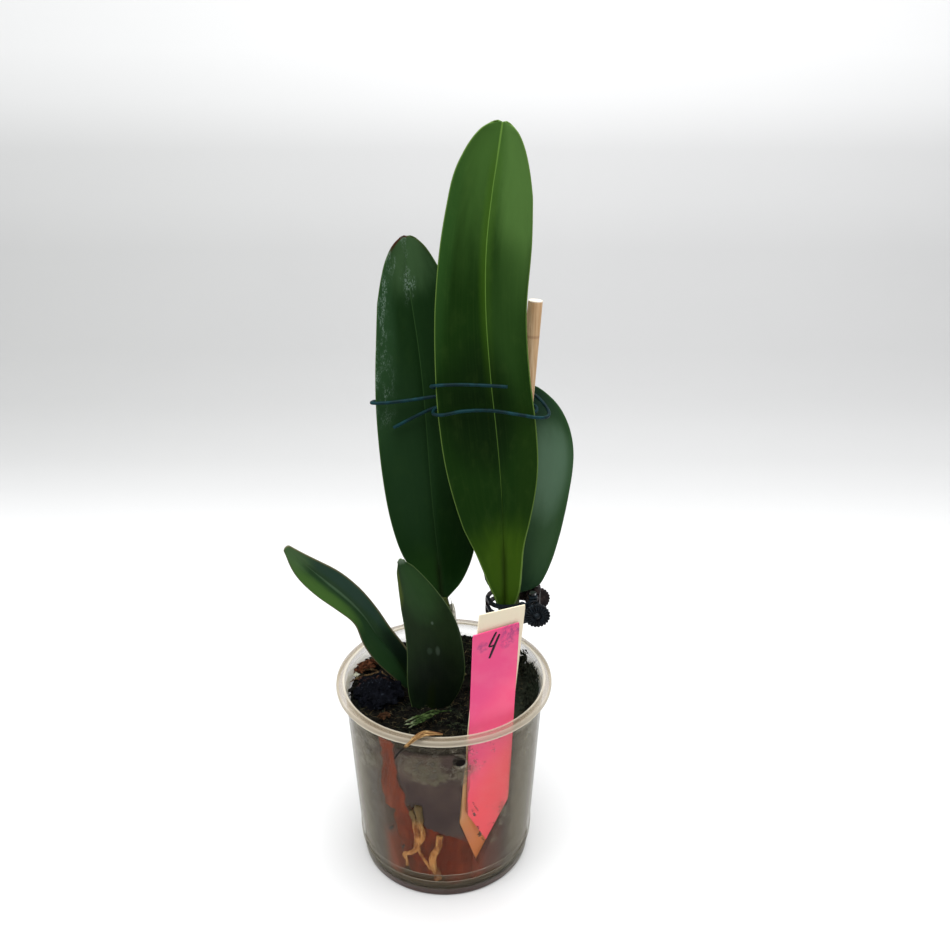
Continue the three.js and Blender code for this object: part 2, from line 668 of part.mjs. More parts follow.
function surfaceHeight(x, y) {
  const share = Math.hypot(x, y) / POT.bodyRadiusTop;
  const lumps = Math.sin(0.37 * x + 1.1) * Math.cos(0.31 * y - 0.4) + 0.5 * Math.sin(0.83 * x - 0.62 * y);
  return SUBSTRATE.centreHeight + SUBSTRATE.edgeRise * share * share + SUBSTRATE.backTilt * y
    + SUBSTRATE.bump * lumps * Math.min(1, 2.4 - 2 * share);
}

/** The filling, shaped to the pot, with sockets for all that stands or lies in it. */
function substrateBody() {
  const edge = 80;
  const profile = [
    [0, SUBSTRATE.bottom], [POT.footRadius - 2.4, SUBSTRATE.bottom],
    [innerRadius(POT.footHeight + 1) - 0.6, POT.footHeight + 1.2], [innerRadius(edge) - GAP, edge],
    [29, edge], [19, edge], [9, edge], [0, edge],
  ];
  const turned = new THREE.LatheGeometry(profile.map(([r, z]) => new THREE.Vector2(r, z)), 36);
  turned.rotateX(Math.PI / 2);
  const position = turned.getAttribute('position');
  for (let i = 0; i < position.count; i += 1) {
    if (position.getZ(i) < edge - 1) continue;
    const z = surfaceHeight(position.getX(i), position.getY(i));
    const shrink = (innerRadius(z) - GAP) / (innerRadius(edge) - GAP);
    position.setXYZ(i, position.getX(i) * shrink, position.getY(i) * shrink, z);
  }
  let body = solid(turned);
  const sockets = [
    rhizomeSolid(GAP),
    solid(stakeBar(GAP)),
    solid(label(LABEL.pink, GAP)),
    solid(label(LABEL.white, GAP)),
    ...Object.values(ROOTS).map((branches) => rootSolid(branches, GAP)),
    ...Object.values(BARK_SLABS).map((slab) => solid(barkSlab(slab, GAP))),
    ...Object.values(STEMS).map((stem) => solid(barOf(stem, GAP))),
    ...[LEAVES.leaf_small_left, LEAVES.leaf_small_front].map((leaf) => solid(leafBlade(leaf, GAP))),
    solid(barOf(SHOOT, GAP)),
  ];
  for (const { at, size, turn } of Object.values(CHIPS)) {
    sockets.push(solid(chip(at, size.map((length) => length + 2.5 * GAP), turn)));
  }
  for (const socket of sockets) body = body.subtract(socket);
  const largest = body.decompose().sort((a, b) => b.volume() - a.volume())[0];
  return geometryOf(largest);
}

place('substrate', substrateBody(), '#2b211b', 0.95);

export default group;
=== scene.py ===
"""A young cattleya orchid in a hazed clear plastic pot: leaves, growths, dark bark mix, labels, stake,
wire ties and a claw clip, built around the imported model. Metres, +Z up, origin under the pot.
"""

import random
from functools import reduce
from math import atan2, copysign, cos, exp, floor, hypot, pi, radians, sin, sqrt, tau
from math import degrees as in_degrees

import bpy
from mathutils import Matrix, Vector, noise


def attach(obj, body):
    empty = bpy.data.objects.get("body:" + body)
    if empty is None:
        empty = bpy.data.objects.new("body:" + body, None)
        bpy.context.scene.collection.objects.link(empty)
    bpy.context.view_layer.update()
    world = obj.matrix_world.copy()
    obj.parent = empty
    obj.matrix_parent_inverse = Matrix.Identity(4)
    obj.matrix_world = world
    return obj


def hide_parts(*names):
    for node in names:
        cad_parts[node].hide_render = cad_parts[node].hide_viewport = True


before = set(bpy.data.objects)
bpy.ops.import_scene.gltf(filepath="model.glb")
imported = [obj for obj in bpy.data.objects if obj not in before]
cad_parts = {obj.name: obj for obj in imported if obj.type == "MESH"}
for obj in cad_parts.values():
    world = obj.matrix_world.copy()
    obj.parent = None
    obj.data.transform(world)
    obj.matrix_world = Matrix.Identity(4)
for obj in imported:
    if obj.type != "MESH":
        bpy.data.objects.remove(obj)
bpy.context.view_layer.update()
chance = random.Random(41)

PLANT = "plant_and_pot"
MM = 0.001
# Corners nearer than this, in metres, are one corner.
SEAM = 1e-6


# ---------------- finding curves and placing points


def through(points):
    """A smooth curve through the points, as a function of 0 at the first to 1 at the last."""
    points = [Vector(p) for p in points]
    last = len(points) - 1

    def at(t):
        place = min(max(t, 0.0), 1.0) * last
        k = min(int(place), last - 1)
        share = place - k
        b, c = points[k], points[k + 1]
        a = points[k - 1] if k > 0 else b * 2 - c
        d = points[k + 2] if k + 2 <= last else c * 2 - b
        before, span, after = ((q - p).length ** 0.5 or 1.0 for p, q in ((a, b), (b, c), (c, d)))
        start = ((b - a) / before - (c - a) / (before + span) + (c - b) / span) * span
        finish = ((c - b) / span - (d - b) / (span + after) + (d - c) / after) * span
        cubic = (b - c) * 2 + start + finish
        square = (c - b) * 3 - start * 2 - finish
        return ((cubic * share + square) * share + start) * share + b

    return at


def heading(path, t):
    return (path(min(t + 0.004, 1)) - path(max(t - 0.004, 0))).normalized()


def ease(low, high, value):
    """0 below low, 1 above high, smooth between; low may be the larger."""
    share = min(max((value - low) / (high - low), 0.0), 1.0)
    return share * share * (3 - 2 * share)


def blur(low, high):
    return chance.uniform(low, high)


# ---------------- working at the bench


def put_down():
    bpy.ops.object.select_all(action="DESELECT")


def pick_up(piece):
    put_down()
    piece.select_set(True)
    bpy.context.view_layer.objects.active = piece


def fresh(name):
    """Names the primitive that was just added."""
    piece = bpy.context.object
    piece.name = name
    piece.data.name = name
    return piece


def reshape(piece, move):
    """Moves each vertex to where move(place) says."""
    for vertex in piece.data.vertices:
        vertex.co = move(vertex.co.copy())
    piece.data.update()


def apply_with(piece, kind, **settings):
    pick_up(piece)
    modifier = piece.modifiers.new(kind.lower(), kind)
    for name, value in settings.items():
        setattr(modifier, name, value)
    bpy.ops.object.modifier_apply(modifier=modifier.name)


def clean(piece):
    """Closes seams, drops loose edges and turns every face outwards."""
    pick_up(piece)
    bpy.ops.object.mode_set(mode="EDIT")
    bpy.ops.mesh.select_all(action="SELECT")
    bpy.ops.mesh.remove_doubles(threshold=SEAM)
    bpy.ops.mesh.delete_loose()
    bpy.ops.mesh.select_all(action="SELECT")
    bpy.ops.mesh.normals_make_consistent(inside=False)
    bpy.ops.object.mode_set(mode="OBJECT")


def round_off(piece, degrees=40):
    pick_up(piece)
    bpy.ops.object.shade_smooth_by_angle(angle=radians(degrees))


def flat_grid(name, across, along):
    """A square grid one metre wide, to be bent into a blade, a slab or a label."""
    bpy.ops.mesh.primitive_grid_add(x_subdivisions=across, y_subdivisions=along, size=1)
    return fresh(name)


def spin_round(name, outline, steps, **marks):
    """A closed outline of radii and heights in millimetres, spun once round the upright."""
    bpy.ops.mesh.primitive_circle_add(vertices=len(outline), radius=0.03)
    shell = fresh(name)
    for vertex, (r, z) in zip(shell.data.vertices, outline):
        vertex.co = (r * MM, 0, z * MM)
    for label, values in marks.items():
        mark(shell, label, values)
    bpy.ops.object.mode_set(mode="EDIT")
    bpy.ops.mesh.select_all(action="SELECT")
    bpy.ops.mesh.spin(steps=steps, angle=2 * pi, center=(0, 0, 0), axis=(0, 0, 1))
    bpy.ops.object.mode_set(mode="OBJECT")
    clean(shell)
    return shell


def ring_at(heights):
    """Cuts a ring of edges round the new piece at each height."""
    bpy.ops.object.mode_set(mode="EDIT")
    for height in heights:
        bpy.ops.mesh.select_all(action="SELECT")
        bpy.ops.mesh.bisect(plane_co=(0, 0, height), plane_no=(0, 0, 1))
    bpy.ops.object.mode_set(mode="OBJECT")


def join(name, pieces):
    put_down()
    for piece in pieces:
        piece.select_set(True)
    bpy.context.view_layer.objects.active = pieces[0]
    bpy.ops.object.join()
    return fresh(name)


def hand_over(piece, finish, nodes=(), body=PLANT):
    """Gives a finished piece its material and its body, and hides the CAD nodes that it stands for."""
    piece.data.materials.clear()
    piece.data.materials.append(finish)
    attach(piece, body)
    if nodes:
        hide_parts(*nodes)


def mark(piece, name, values):
    """Stores one number for each vertex under a name that the finishes read."""
    layer = piece.data.attributes.new(name, "FLOAT", "POINT")
    layer.data.foreach_set("value", values)


def rod(name, path, radius, sides=12, steps=60, swell=None):
    """A round bar along a curve in millimetres. swell(t) is its radius as a share of the full one."""
    bpy.ops.curve.primitive_bezier_curve_add()
    bar = fresh(name)
    bar.data.splines.clear()
    line = bar.data.splines.new("POLY")
    line.points.add(steps)
    for k, point in enumerate(line.points):
        t = k / steps
        point.co = (*(path(t) * MM), 1)
        point.radius = swell(t) if swell else 1
    bar.data.dimensions = "3D"
    bar.data.bevel_depth = radius * MM
    bar.data.bevel_resolution = max(0, sides // 4 - 1)
    bar.data.use_fill_caps = True
    pick_up(bar)
    bpy.ops.object.convert(target="MESH")
    bar = fresh(name)
    clean(bar)
    bpy.ops.object.shade_smooth()
    return bar


def scatter(name, seed, spots):
    """Copies one small seed mesh to every spot, each a matrix, as one piece."""
    corners, faces = [], []
    base = [v.co.copy() for v in seed.data.vertices]
    outline = [tuple(p.vertices) for p in seed.data.polygons]
    for spot in spots:
        start = len(corners)
        corners.extend(spot @ co for co in base)
        faces.extend(tuple(start + k for k in face) for face in outline)
    mesh = bpy.data.meshes.new(name)
    mesh.from_pydata(corners, [], faces)
    piece = bpy.data.objects.new(name, mesh)
    bpy.context.scene.collection.objects.link(piece)
    bpy.data.objects.remove(seed)
    return piece


# ---------------- mixing finishes


def paint(red, green, blue):
    """A colour given as it looks on screen, 0 to 255, as the shader wants it."""
    shares = [value / 255 for value in (red, green, blue)]
    return (*(v / 12.92 if v <= 0.04 else ((v + 0.055) / 1.055) ** 2.4 for v in shares), 1.0)


class Finish:
    """One node material, mixed step by step."""

    def __init__(self, name, rough, shine=0.5, **sockets):
        self.material = bpy.data.materials.new(name)
        self.material.use_nodes = True
        self.tree = self.material.node_tree
        self.shader = self.tree.nodes["Principled BSDF"]
        sockets.update({"Roughness": rough, "Specular IOR Level": shine})
        for socket, value in sockets.items():
            self.shader.inputs[socket].default_value = value

    def node(self, kind, **settings):
        made = self.tree.nodes.new("ShaderNode" + kind)
        for name, value in settings.items():
            setattr(made, name, value)
        return made

    def feed(self, socket, value):
        if isinstance(value, bpy.types.NodeSocket):
            self.tree.links.new(value, socket)
        else:
            socket.default_value = value

    def place(self, stretch=(1, 1, 1), turn=(0, 0, 0)):
        """The piece's own coordinates in metres, stretched."""
        mapping = self.node("Mapping")
        self.feed(mapping.inputs["Vector"], self.node("TexCoord").outputs["Object"])
        mapping.inputs["Scale"].default_value = stretch
        mapping.inputs["Rotation"].default_value = turn
        return mapping.outputs["Vector"]

    def read(self, name):
        return self.node("Attribute", attribute_name=name).outputs["Fac"]

    def point(self, x, y, z):
        made = self.node("CombineXYZ")
        for socket, value in zip(made.inputs, (x, y, z)):
            self.feed(socket, value)
        return made.outputs[0]

    def grain(self, where, scale, detail=4, rough=0.55, twist=0.0):
        made = self.node("TexNoise")
        self.feed(made.inputs["Vector"], where)
        made.inputs["Scale"].default_value = scale
        made.inputs["Detail"].default_value = detail
        made.inputs["Roughness"].default_value = rough
        made.inputs["Distortion"].default_value = twist
        return made.outputs["Fac"]

    def clouds(self, scale, stretch=(1, 1, 1), **settings):
        """Noise in the piece's own space, so many lumps to the metre."""
        return self.grain(self.place(stretch), scale, **settings)

    def cells(self, scale):
        """Distance from the nearest of scattered points, so many to the metre."""
        made = self.node("TexVoronoi")
        self.feed(made.inputs["Vector"], self.place())
        made.inputs["Scale"].default_value = scale
        return made.outputs["Distance"]

    def sums(self, operation, first, second=0.0, third=0.0):
        made = self.node("Math", operation=operation)
        for socket, value in zip(made.inputs, (first, second, third)):
            self.feed(socket, value)
        return made.outputs[0]

    def coats(self, tone, *coats):
        """The tone with coats laid over it, each given as its share and its colour."""
        return reduce(lambda under, coat: self.mix(coat[0], under, coat[1]), coats, tone)

    def times(self, *values):
        return reduce(lambda first, second: self.sums("MULTIPLY", first, second), values)

    def plus(self, *values):
        return reduce(lambda first, second: self.sums("ADD", first, second), values)

    def most(self, *values):
        return reduce(lambda first, second: self.sums("MAXIMUM", first, second), values)

    def span(self, value, low, high, to_low=0.0, to_high=1.0):
        """The value between low and high, made 0 to 1 or the given ends, smooth and clamped."""
        made = self.node("MapRange", interpolation_type="SMOOTHSTEP")
        for socket, number in zip(made.inputs, (value, low, high, to_low, to_high)):
            self.feed(socket, number)
        return made.outputs[0]

    def mix(self, share, first, second):
        """Two tones mixed. A tone given as three numbers is a screen colour, 0 to 255."""
        made = self.node("Mix", data_type="RGBA")
        self.feed(made.inputs[0], share)
        for socket, tone in ((made.inputs[6], first), (made.inputs[7], second)):
            self.feed(socket, tone if isinstance(tone, bpy.types.NodeSocket) else paint(*tone))
        return made.outputs[2]

    def axes(self):
        """The piece's own x, y and z in metres."""
        split = self.node("SeparateXYZ")
        self.feed(split.inputs[0], self.place())
        return tuple(split.outputs)

    def turned(self, x, y):
        """Degrees round from the front."""
        return self.times(self.sums("ARCTAN2", x, self.times(y, -1.0)), 180 / pi)

    def off(self, value, middle, reach):
        """How many reaches the value is from the middle."""
        return self.sums("DIVIDE", self.sums("SUBTRACT", value, middle), reach)

    def square(self, first, second):
        """The squared distance of two offsets."""
        return self.sums("MULTIPLY_ADD", first, first, self.times(second, second))

    def far(self, first, second):
        return self.sums("POWER", self.square(first, second), 0.5)

    def band(self, value, start, rise, fall, end):
        """1 from rise to fall, and 0 before the start and after the end."""
        return self.times(self.span(value, start, rise), self.span(value, end, fall))

    def over(self, tone, colour, value, low, high, share=1.0):
        """The tone, with a share of the colour laid over it where the value goes from low to high."""
        return self.mix(self.span(value, low, high, 0.0, share), tone, colour)

    def colour(self, value):
        self.feed(self.shader.inputs["Base Color"], value)

    def roughness(self, value):
        self.feed(self.shader.inputs["Roughness"], value)

    def relief(self, height, depth, strength=1.0):
        """Bump of the given depth in metres."""
        made = self.node("Bump")
        made.inputs["Strength"].default_value = strength
        made.inputs["Distance"].default_value = depth
        self.feed(made.inputs["Height"], height)
        self.feed(self.shader.inputs["Normal"], made.outputs["Normal"])


# ---------------- leaves

# Stations from base to tip: midrib x, y, z, then the half widths on its left and right, in mm.
# fold lifts the margins, wave ripples them, groove sinks the midrib, and notch and cap shape the tip.
# A round_tip is the share of the length over which the blade narrows to an arch.
LEAVES = {
    "leaf_tall": dict(
        fold=3.2, thickness=2.3, face=(0, -1, 0.06), wave=0.35, cap=0.5, notch=0.4, groove=0.5,
        round_tip=0.2,
        stations=[
            (24.3, 3.9, 111.5, 2.4, 3), (24.2, 4.2, 121, 5.2, 6), (23.7, 5, 136.5, 11, 7.3),
            (23.3, 5.5, 147.5, 15.2, 9.6), (22.3, 6.1, 165, 19.4, 13.9), (20.6, 6.6, 184, 20.9, 14.9),
            (18.2, 7.4, 206, 20.2, 14.1), (16.3, 8.8, 232, 18, 14.3), (16.5, 10.2, 253, 16.1, 16.1),
            (18.4, 12, 270.7, 14.5, 13.9), (20, 12.9, 281.4, 13.8, 12.4), (21.8, 13.9, 293.8, 13.1, 11.4),
        ],
    ),
    "leaf_left": dict(
        fold=2.6, thickness=2.1, face=(0, -1, 0.08), wave=0.35, cap=0.5, notch=0.2, groove=0.4,
        round_tip=0.2,
        stations=[
            (-0.9, 12, 111.7, 2, 2.4), (-1.6, 12.5, 119.8, 6.4, 9.2), (-2.3, 13, 131, 13.8, 14.3),
            (-3.8, 13.9, 149, 17.2, 17.7), (-5.1, 15, 168, 18.3, 17.9), (-6.4, 16.5, 191, 18.5, 16.7),
            (-8.3, 18.1, 213, 16.2, 15.3), (-10.8, 19.9, 232, 12.4, 14.7), (-12, 21.2, 242.1, 9.7, 12.8),
            (-11.9, 21.9, 254.5, 8.5, 10.9),
        ],
    ),
    "leaf_right": dict(
        fold=1.2, thickness=2.1, face=(0, -1, 0.12), wave=0.3, cap=0.8, notch=0.0, groove=0.3,
        stations=[
            (28.4, 14.6, 112.8, 3, 2.4), (28.5, 14.7, 114.4, 10.4, 6), (28.8, 15.2, 117.4, 12.2, 10.2),
            (29.6, 16.6, 127.5, 14.8, 14), (30.2, 17.8, 139.5, 16.9, 16.4), (30.8, 19.2, 157, 18.6, 19),
            (31.2, 20.9, 172, 19, 19.8), (30, 22.5, 185.3, 14.7, 16.6), (28, 23.7, 195.2, 6, 8.6),
            (26.9, 24.3, 200.2, 1.6, 2),
        ],
    ),
    "leaf_small_left": dict(
        fold=3.0, thickness=2.1, face=(0.1, -1, 0.1), wave=0.2, cap=1.0, notch=0.0, groove=0.3,
        stations=[
            (-13.6, 5.6, 74, 3.2, 3.2), (-16.6, 4.7, 82.6, 5.4, 6), (-21.7, 3.8, 91.6, 6.9, 6.4),
            (-26.8, 3, 99.7, 6.3, 6.6), (-31.5, 2.1, 108.6, 4.2, 6.6), (-36.9, 0.6, 116.8, 5.6, 7.2),
            (-44.3, -1.2, 125.6, 6.6, 7.2), (-52.1, -3, 134.5, 5.6, 4.4), (-58.8, -4.6, 143, 1.8, 1.4),
        ],
    ),
    "leaf_small_front": dict(
        fold=-1.6, thickness=2.3, face=(0.12, -1, 0), wave=0.2, cap=0.8, notch=0.0, groove=0.0,
        stations=[
            (-5.2, -11.8, 74.4, 7.2, 7.2), (-4.8, -11.2, 80, 8.8, 10.6), (-4.4, -10.6, 88.5, 9.8, 13.2),
            (-4.4, -10.4, 97, 9.5, 12.8), (-5.1, -11, 107.5, 9, 12), (-6.1, -11.8, 115.5, 8.8, 10.2),
            (-8.2, -12.8, 124, 7.7, 7.7), (-10.9, -13.6, 131.5, 5.5, 5.7), (-13.6, -14, 138.4, 3.1, 3.4),
            (-15.2, -14.1, 142.8, 1, 1),
        ],
    ),
}

ACROSS, ALONG = 36, 150
ARCH = 2.2


def breadth(stations):
    """Half widths left and right of the midrib, evened out, from 0 at the base to 1 at the tip."""
    widths = through([(s[3], s[4], k) for k, s in enumerate(stations)])

    def at(t):
        reach = 0.045 * ease(0, 0.12, t) * ease(1, 0.9, t)
        return sum((widths(t + reach * k) for k in (-1, -0.5, 0, 0.5, 1)), Vector((0, 0, 0))) / 5

    return at


def grow_leaf(name, stations, fold, thickness, face, wave, cap, notch, groove, round_tip=0.0):
    """A strap leaf from a flat grid: widened, rounded at its tip, folded along the midrib and made solid."""
    leaf = flat_grid(name + "_blade", ACROSS, ALONG)
    midrib = through([s[:3] for s in stations])
    widths = breadth(stations)
    towards = Vector(face).normalized()
    phase = len(name)
    across, along, rib, edge, body = [], [], [], [], []
    for vertex in leaf.data.vertices:
        s = 2 * vertex.co.x
        s = copysign(abs(s) ** 1.25, s)
        t = vertex.co.y + 0.5
        # The rows stand closer together near the tip.
        t = min(1, 1.06 * t) if t < 0.9 else 1 - 0.46 * (1 - t)
        half = widths(t)
        if round_tip:
            late = max(0.0, 1 - (1 - t) / round_tip)
            half *= (1 - 0.99 * late ** ARCH) ** (1 / ARCH)
        ahead = heading(midrib, t)
        side = ahead.cross(towards).normalized()
        reach = s * (half.x if s < 0 else half.y)
        depth = fold * (1 - 0.5 * t) * min(1, (half.x + half.y) / 12)
        ripple = wave * s * s * sin(9 * t + phase + (1.3 if s < 0 else 0))
        ripple *= ease(0.05, 0.3, t) * ease(1, 0.8, t)
        channel = -groove * exp(-((reach / 0.9) ** 2)) * ease(1, 0.85, t)
        place = midrib(t) + side * reach + towards * (depth * abs(s) ** 1.4 + ripple + channel)
        place -= ahead * cap * (1 - sqrt(1 - 0.97 * s * s)) * ease(0.86, 1, t)
        place -= ahead * notch * ease(0.97, 1, t) * exp(-((reach / 0.55) ** 2))
        vertex.co = place * MM
        across.append(s)
        along.append(t)
        rib.append(abs(reach))
        edge.append(min((1 - abs(s)) * (half.x if s < 0 else half.y), 200 * (1 - t) + 6 * s * s * (1 - t)))
        body.append(max(0.02, (1 - 0.72 * s * s) * (1 - 0.5 * t)))
    for label, values in (("across", across), ("along", along), ("rib", rib), ("edge", edge)):
        mark(leaf, label, values)
    flesh = leaf.vertex_groups.new(name="flesh")
    for index, weight in enumerate(body):
        flesh.add([index], weight, "REPLACE")
    apply_with(
        leaf, "SOLIDIFY", thickness=thickness * MM, offset=0, vertex_group="flesh",
        thickness_vertex_group=0.1, use_rim=True,
    )
    leaf.vertex_groups.clear()
    clean(leaf)
    bpy.ops.object.shade_smooth()
    return leaf


def waxy_green(name, ground, painted_light_and_tone_fields, rib, margin, shine=0.03, glow=0.0, tip=None, flecks=0.0):
    """Waxy leaf skin: a ground colour, soft fields of other colours, faint veins, midrib and margin.

    The fields are partly the leaf's own tone and partly painted light and shade: lighter where a blade faces
    the light, painted sheen and reflections, and darker patches of painted shade. A field is a colour, its
    middle along and across the leaf, its reach both ways and its strength.
    """
    skin = Finish(name, rough=0.42, shine=shine)
    along, across, ribwise, edge = (skin.read(n) for n in ("along", "across", "rib", "edge"))
    sheet = skin.point(skin.times(across, 3.0), skin.times(along, 6.0), 0.0)
    drift = skin.sums("MULTIPLY_ADD", skin.grain(sheet, 1.3, detail=3), 0.5, -0.25)
    green = ground
    for colour, t, s, long, wide, share in painted_light_and_tone_fields:
        away = skin.plus(skin.square(skin.off(along, t, long), skin.off(across, s, wide)), drift)
        green = skin.mix(skin.span(away, 1.0, 0.0, 0.0, share), green, colour)
    lengthwise = skin.point(skin.times(across, 34.0), skin.times(along, 7.0), 0.0)
    veins = skin.grain(lengthwise, 1.0, detail=2)
    green = skin.over(green, margin, veins, 0.45, 0.75, 0.02)
    mottle = skin.clouds(260.0, (1, 1, 0.5), detail=4)
    green = skin.over(green, margin, mottle, 0.5, 0.72, 0.03)
    colour, wide, first, last, share = rib
    # painted highlight: a band of lighter green beside the midrib in the upper blade, stronger on its left
    if glow:
        beside = skin.times(
            skin.span(ribwise, 3.4, 0.3, 0.0, glow), skin.span(across, 0.06, -0.04, 0.5, 1.0),
            skin.band(along, 0.46, 0.68, 0.86, 0.98),
        )
        green = skin.mix(beside, green, (70, 108, 16))
    line = skin.times(
        skin.span(ribwise, wide, wide * 0.3), skin.span(along, first, first + 0.1, 0.0, share),
        skin.span(along, first, 0.8, 0.5, 1.0), skin.span(along, last, last - 0.2, 0.35, 1.0),
    )
    # painted shade: darker green along the midrib's groove near the base
    groove_shade = skin.times(skin.span(ribwise, 2.3, 0.4), skin.span(along, 0.25, 0.14, 0.0, 0.62))
    green = skin.coats(
        green, (line, colour), (groove_shade, (16, 24, 3)), (skin.span(edge, 0.42, 0.1, 0.0, 0.7), margin),
    )
    if tip:
        burnt = skin.times(
            skin.span(along, 0.93, 0.98), skin.span(edge, 1.4, 0.5), skin.span(across, 0.15, -0.1, 0.25, 1.0),
        )
        green = skin.mix(burnt, green, tip)
    if flecks:
        speck = skin.clouds(2600.0, (1, 1, 0.45), detail=3, rough=0.75)
        crust = skin.span(skin.clouds(300.0, (1, 1, 0.4), detail=4, rough=0.65), 0.47, 0.66)
        middle = skin.span(skin.sums("ABSOLUTE", across), 0.26, 0.03)
        middle = skin.times(middle, skin.band(along, 0.74, 0.84, 0.92, 0.97))
        side = skin.times(skin.span(across, -0.5, -0.85), skin.span(along, 0.5, 0.6, 0.0, 0.6))
        top = skin.times(skin.span(across, 0.05, -0.3), skin.span(along, 0.84, 0.9, 0.0, 0.6))
        crust = skin.times(crust, skin.most(middle, side, top), skin.span(speck, 0.45, 0.62, 0.0, flecks))
        green = skin.mix(crust, green, (150, 172, 158))
    skin.colour(green)
    skin.roughness(skin.span(skin.clouds(160.0), 0.3, 0.75, 0.36, 0.5))
    pores = skin.clouds(900.0, detail=2)
    skin.relief(skin.sums("MULTIPLY_ADD", veins, 0.4, skin.times(pores, 0.25)), 0.0001, 0.3)
    return skin.material


# Painted light and shade in the fields below: the tall leaf's lighter top and lighter right half, and the
# painted shadow of the wire ties across its middle; the painted reflection in the middle of the right leaf;
# the small left leaf's light lower half, dark upper half and painted highlight along its midrib; the painted
# sheen at the small front leaf's tip. The front leaf is also darker towards its base. The other fields are
# the leaves' own tone.
SKINS = {
    "leaf_tall": waxy_green(
        "waxy_green_tall", (21, 46, 11),
        [
            ((64, 98, 42), 1.04, -0.1, 0.4, 2.0, 0.9), ((80, 114, 56), 0.88, 0.75, 0.3, 0.7, 0.8),
            ((40, 68, 26), 0.63, 0.5, 0.14, 0.7, 0.7), ((44, 78, 32), 0.76, -1.0, 0.22, 0.4, 0.7),
            ((10, 27, 7), 0.49, -0.2, 0.13, 1.0, 0.8), ((27, 50, 12), 0.38, 0.9, 0.2, 0.6, 0.6),
            ((52, 79, 14), 0.12, 0.25, 0.2, 2.0, 0.95),
        ],
        ((104, 140, 62), 0.6, 0.25, 1.3, 0.8), (104, 132, 62), glow=0.36,
    ),
    "leaf_left": waxy_green(
        "waxy_green_left", (21, 45, 18),
        [
            ((58, 84, 52), 1.0, -0.1, 0.25, 1.6, 0.9), ((42, 70, 42), 0.72, -0.9, 0.3, 0.5, 0.7),
            ((30, 54, 30), 0.45, -0.5, 0.26, 0.7, 0.6), ((8, 30, 5), 0.25, 0.6, 0.26, 0.8, 0.9),
            ((30, 58, 20), 0.12, -0.5, 0.16, 0.8, 0.6),
        ],
        ((54, 84, 44), 0.5, 0.1, 0.98, 0.55), (66, 92, 42), tip=(62, 34, 24), flecks=0.7,
    ),
    "leaf_right": waxy_green(
        "waxy_green_right", (33, 58, 38),
        [
            ((54, 82, 52), 0.5, 0.8, 0.36, 0.9, 0.9), ((90, 118, 95), 0.615, 0.5, 0.17, 0.66, 0.9),
            ((28, 52, 42), 0.86, 0.3, 0.13, 0.7, 0.8), ((38, 68, 32), 0.5, 1.1, 0.6, 0.3, 0.7),
            ((17, 42, 14), 0.2, -0.8, 0.4, 0.7, 0.9),
        ],
        ((58, 86, 60), 0.4, 0.3, 1.1, 0.4), (58, 84, 54), shine=0.08,
    ),
    "leaf_small_left": waxy_green(
        "waxy_green_small", (32, 58, 32),
        [
            ((66, 100, 42), 0.72, -0.75, 0.32, 0.6, 0.9), ((34, 60, 50), 0.66, 0.7, 0.34, 0.6, 0.8),
            ((74, 102, 62), 0.97, 0.0, 0.14, 1.6, 0.7), ((11, 24, 17), 0.2, 0.6, 0.26, 0.7, 0.9),
            ((32, 60, 28), 0.25, -0.7, 0.24, 0.6, 0.7), ((84, 112, 84), 0.62, 0.0, 0.3, 0.16, 0.6),
        ],
        ((70, 98, 66), 0.4, 0.3, 1.0, 0.5), (98, 92, 66), shine=0.08,
    ),
    "leaf_small_front": waxy_green(
        "waxy_green_front", (24, 40, 19),
        [
            ((40, 68, 34), 0.78, 0.1, 0.3, 1.2, 0.8), ((98, 114, 96), 1.02, 0.1, 0.08, 1.6, 0.8),
            ((80, 92, 30), 0.82, -1.0, 0.2, 0.35, 0.6), ((9, 16, 10), 0.12, 0.1, 0.36, 1.6, 0.95),
            ((84, 100, 86), 0.535, 0.18, 0.014, 0.06, 0.6),
            ((84, 100, 86), 0.375, 0.2, 0.028, 0.09, 0.32),
            ((60, 76, 62), 0.38, -0.06, 0.022, 0.13, 0.4),
        ],
        ((30, 50, 26), 0.02, 0.3, 1.0, 0.0), (74, 94, 54), shine=0.08,
    ),
}

for name, leaf in LEAVES.items():
    hand_over(grow_leaf(name, **leaf), SKINS[name], [name])


# ---------------- clear pot

WALL_THICK = 0.9
# Millimetres of wall for each degree round the pot.
DEGREE = 39.3 * pi / 180
AIR_HOLE_TURN, AIR_HOLE_HEIGHT, AIR_HOLE_RADIUS = 10.5, 69.5, 2.1
DRAIN_CIRCLE, DRAIN_RADIUS = 21, 2.5


def wall_radius(z):
    """Outer radius of the pot's wall at a height, in millimetres."""
    return 35.8 + (z - 6.5) / 76.5 * 4.5


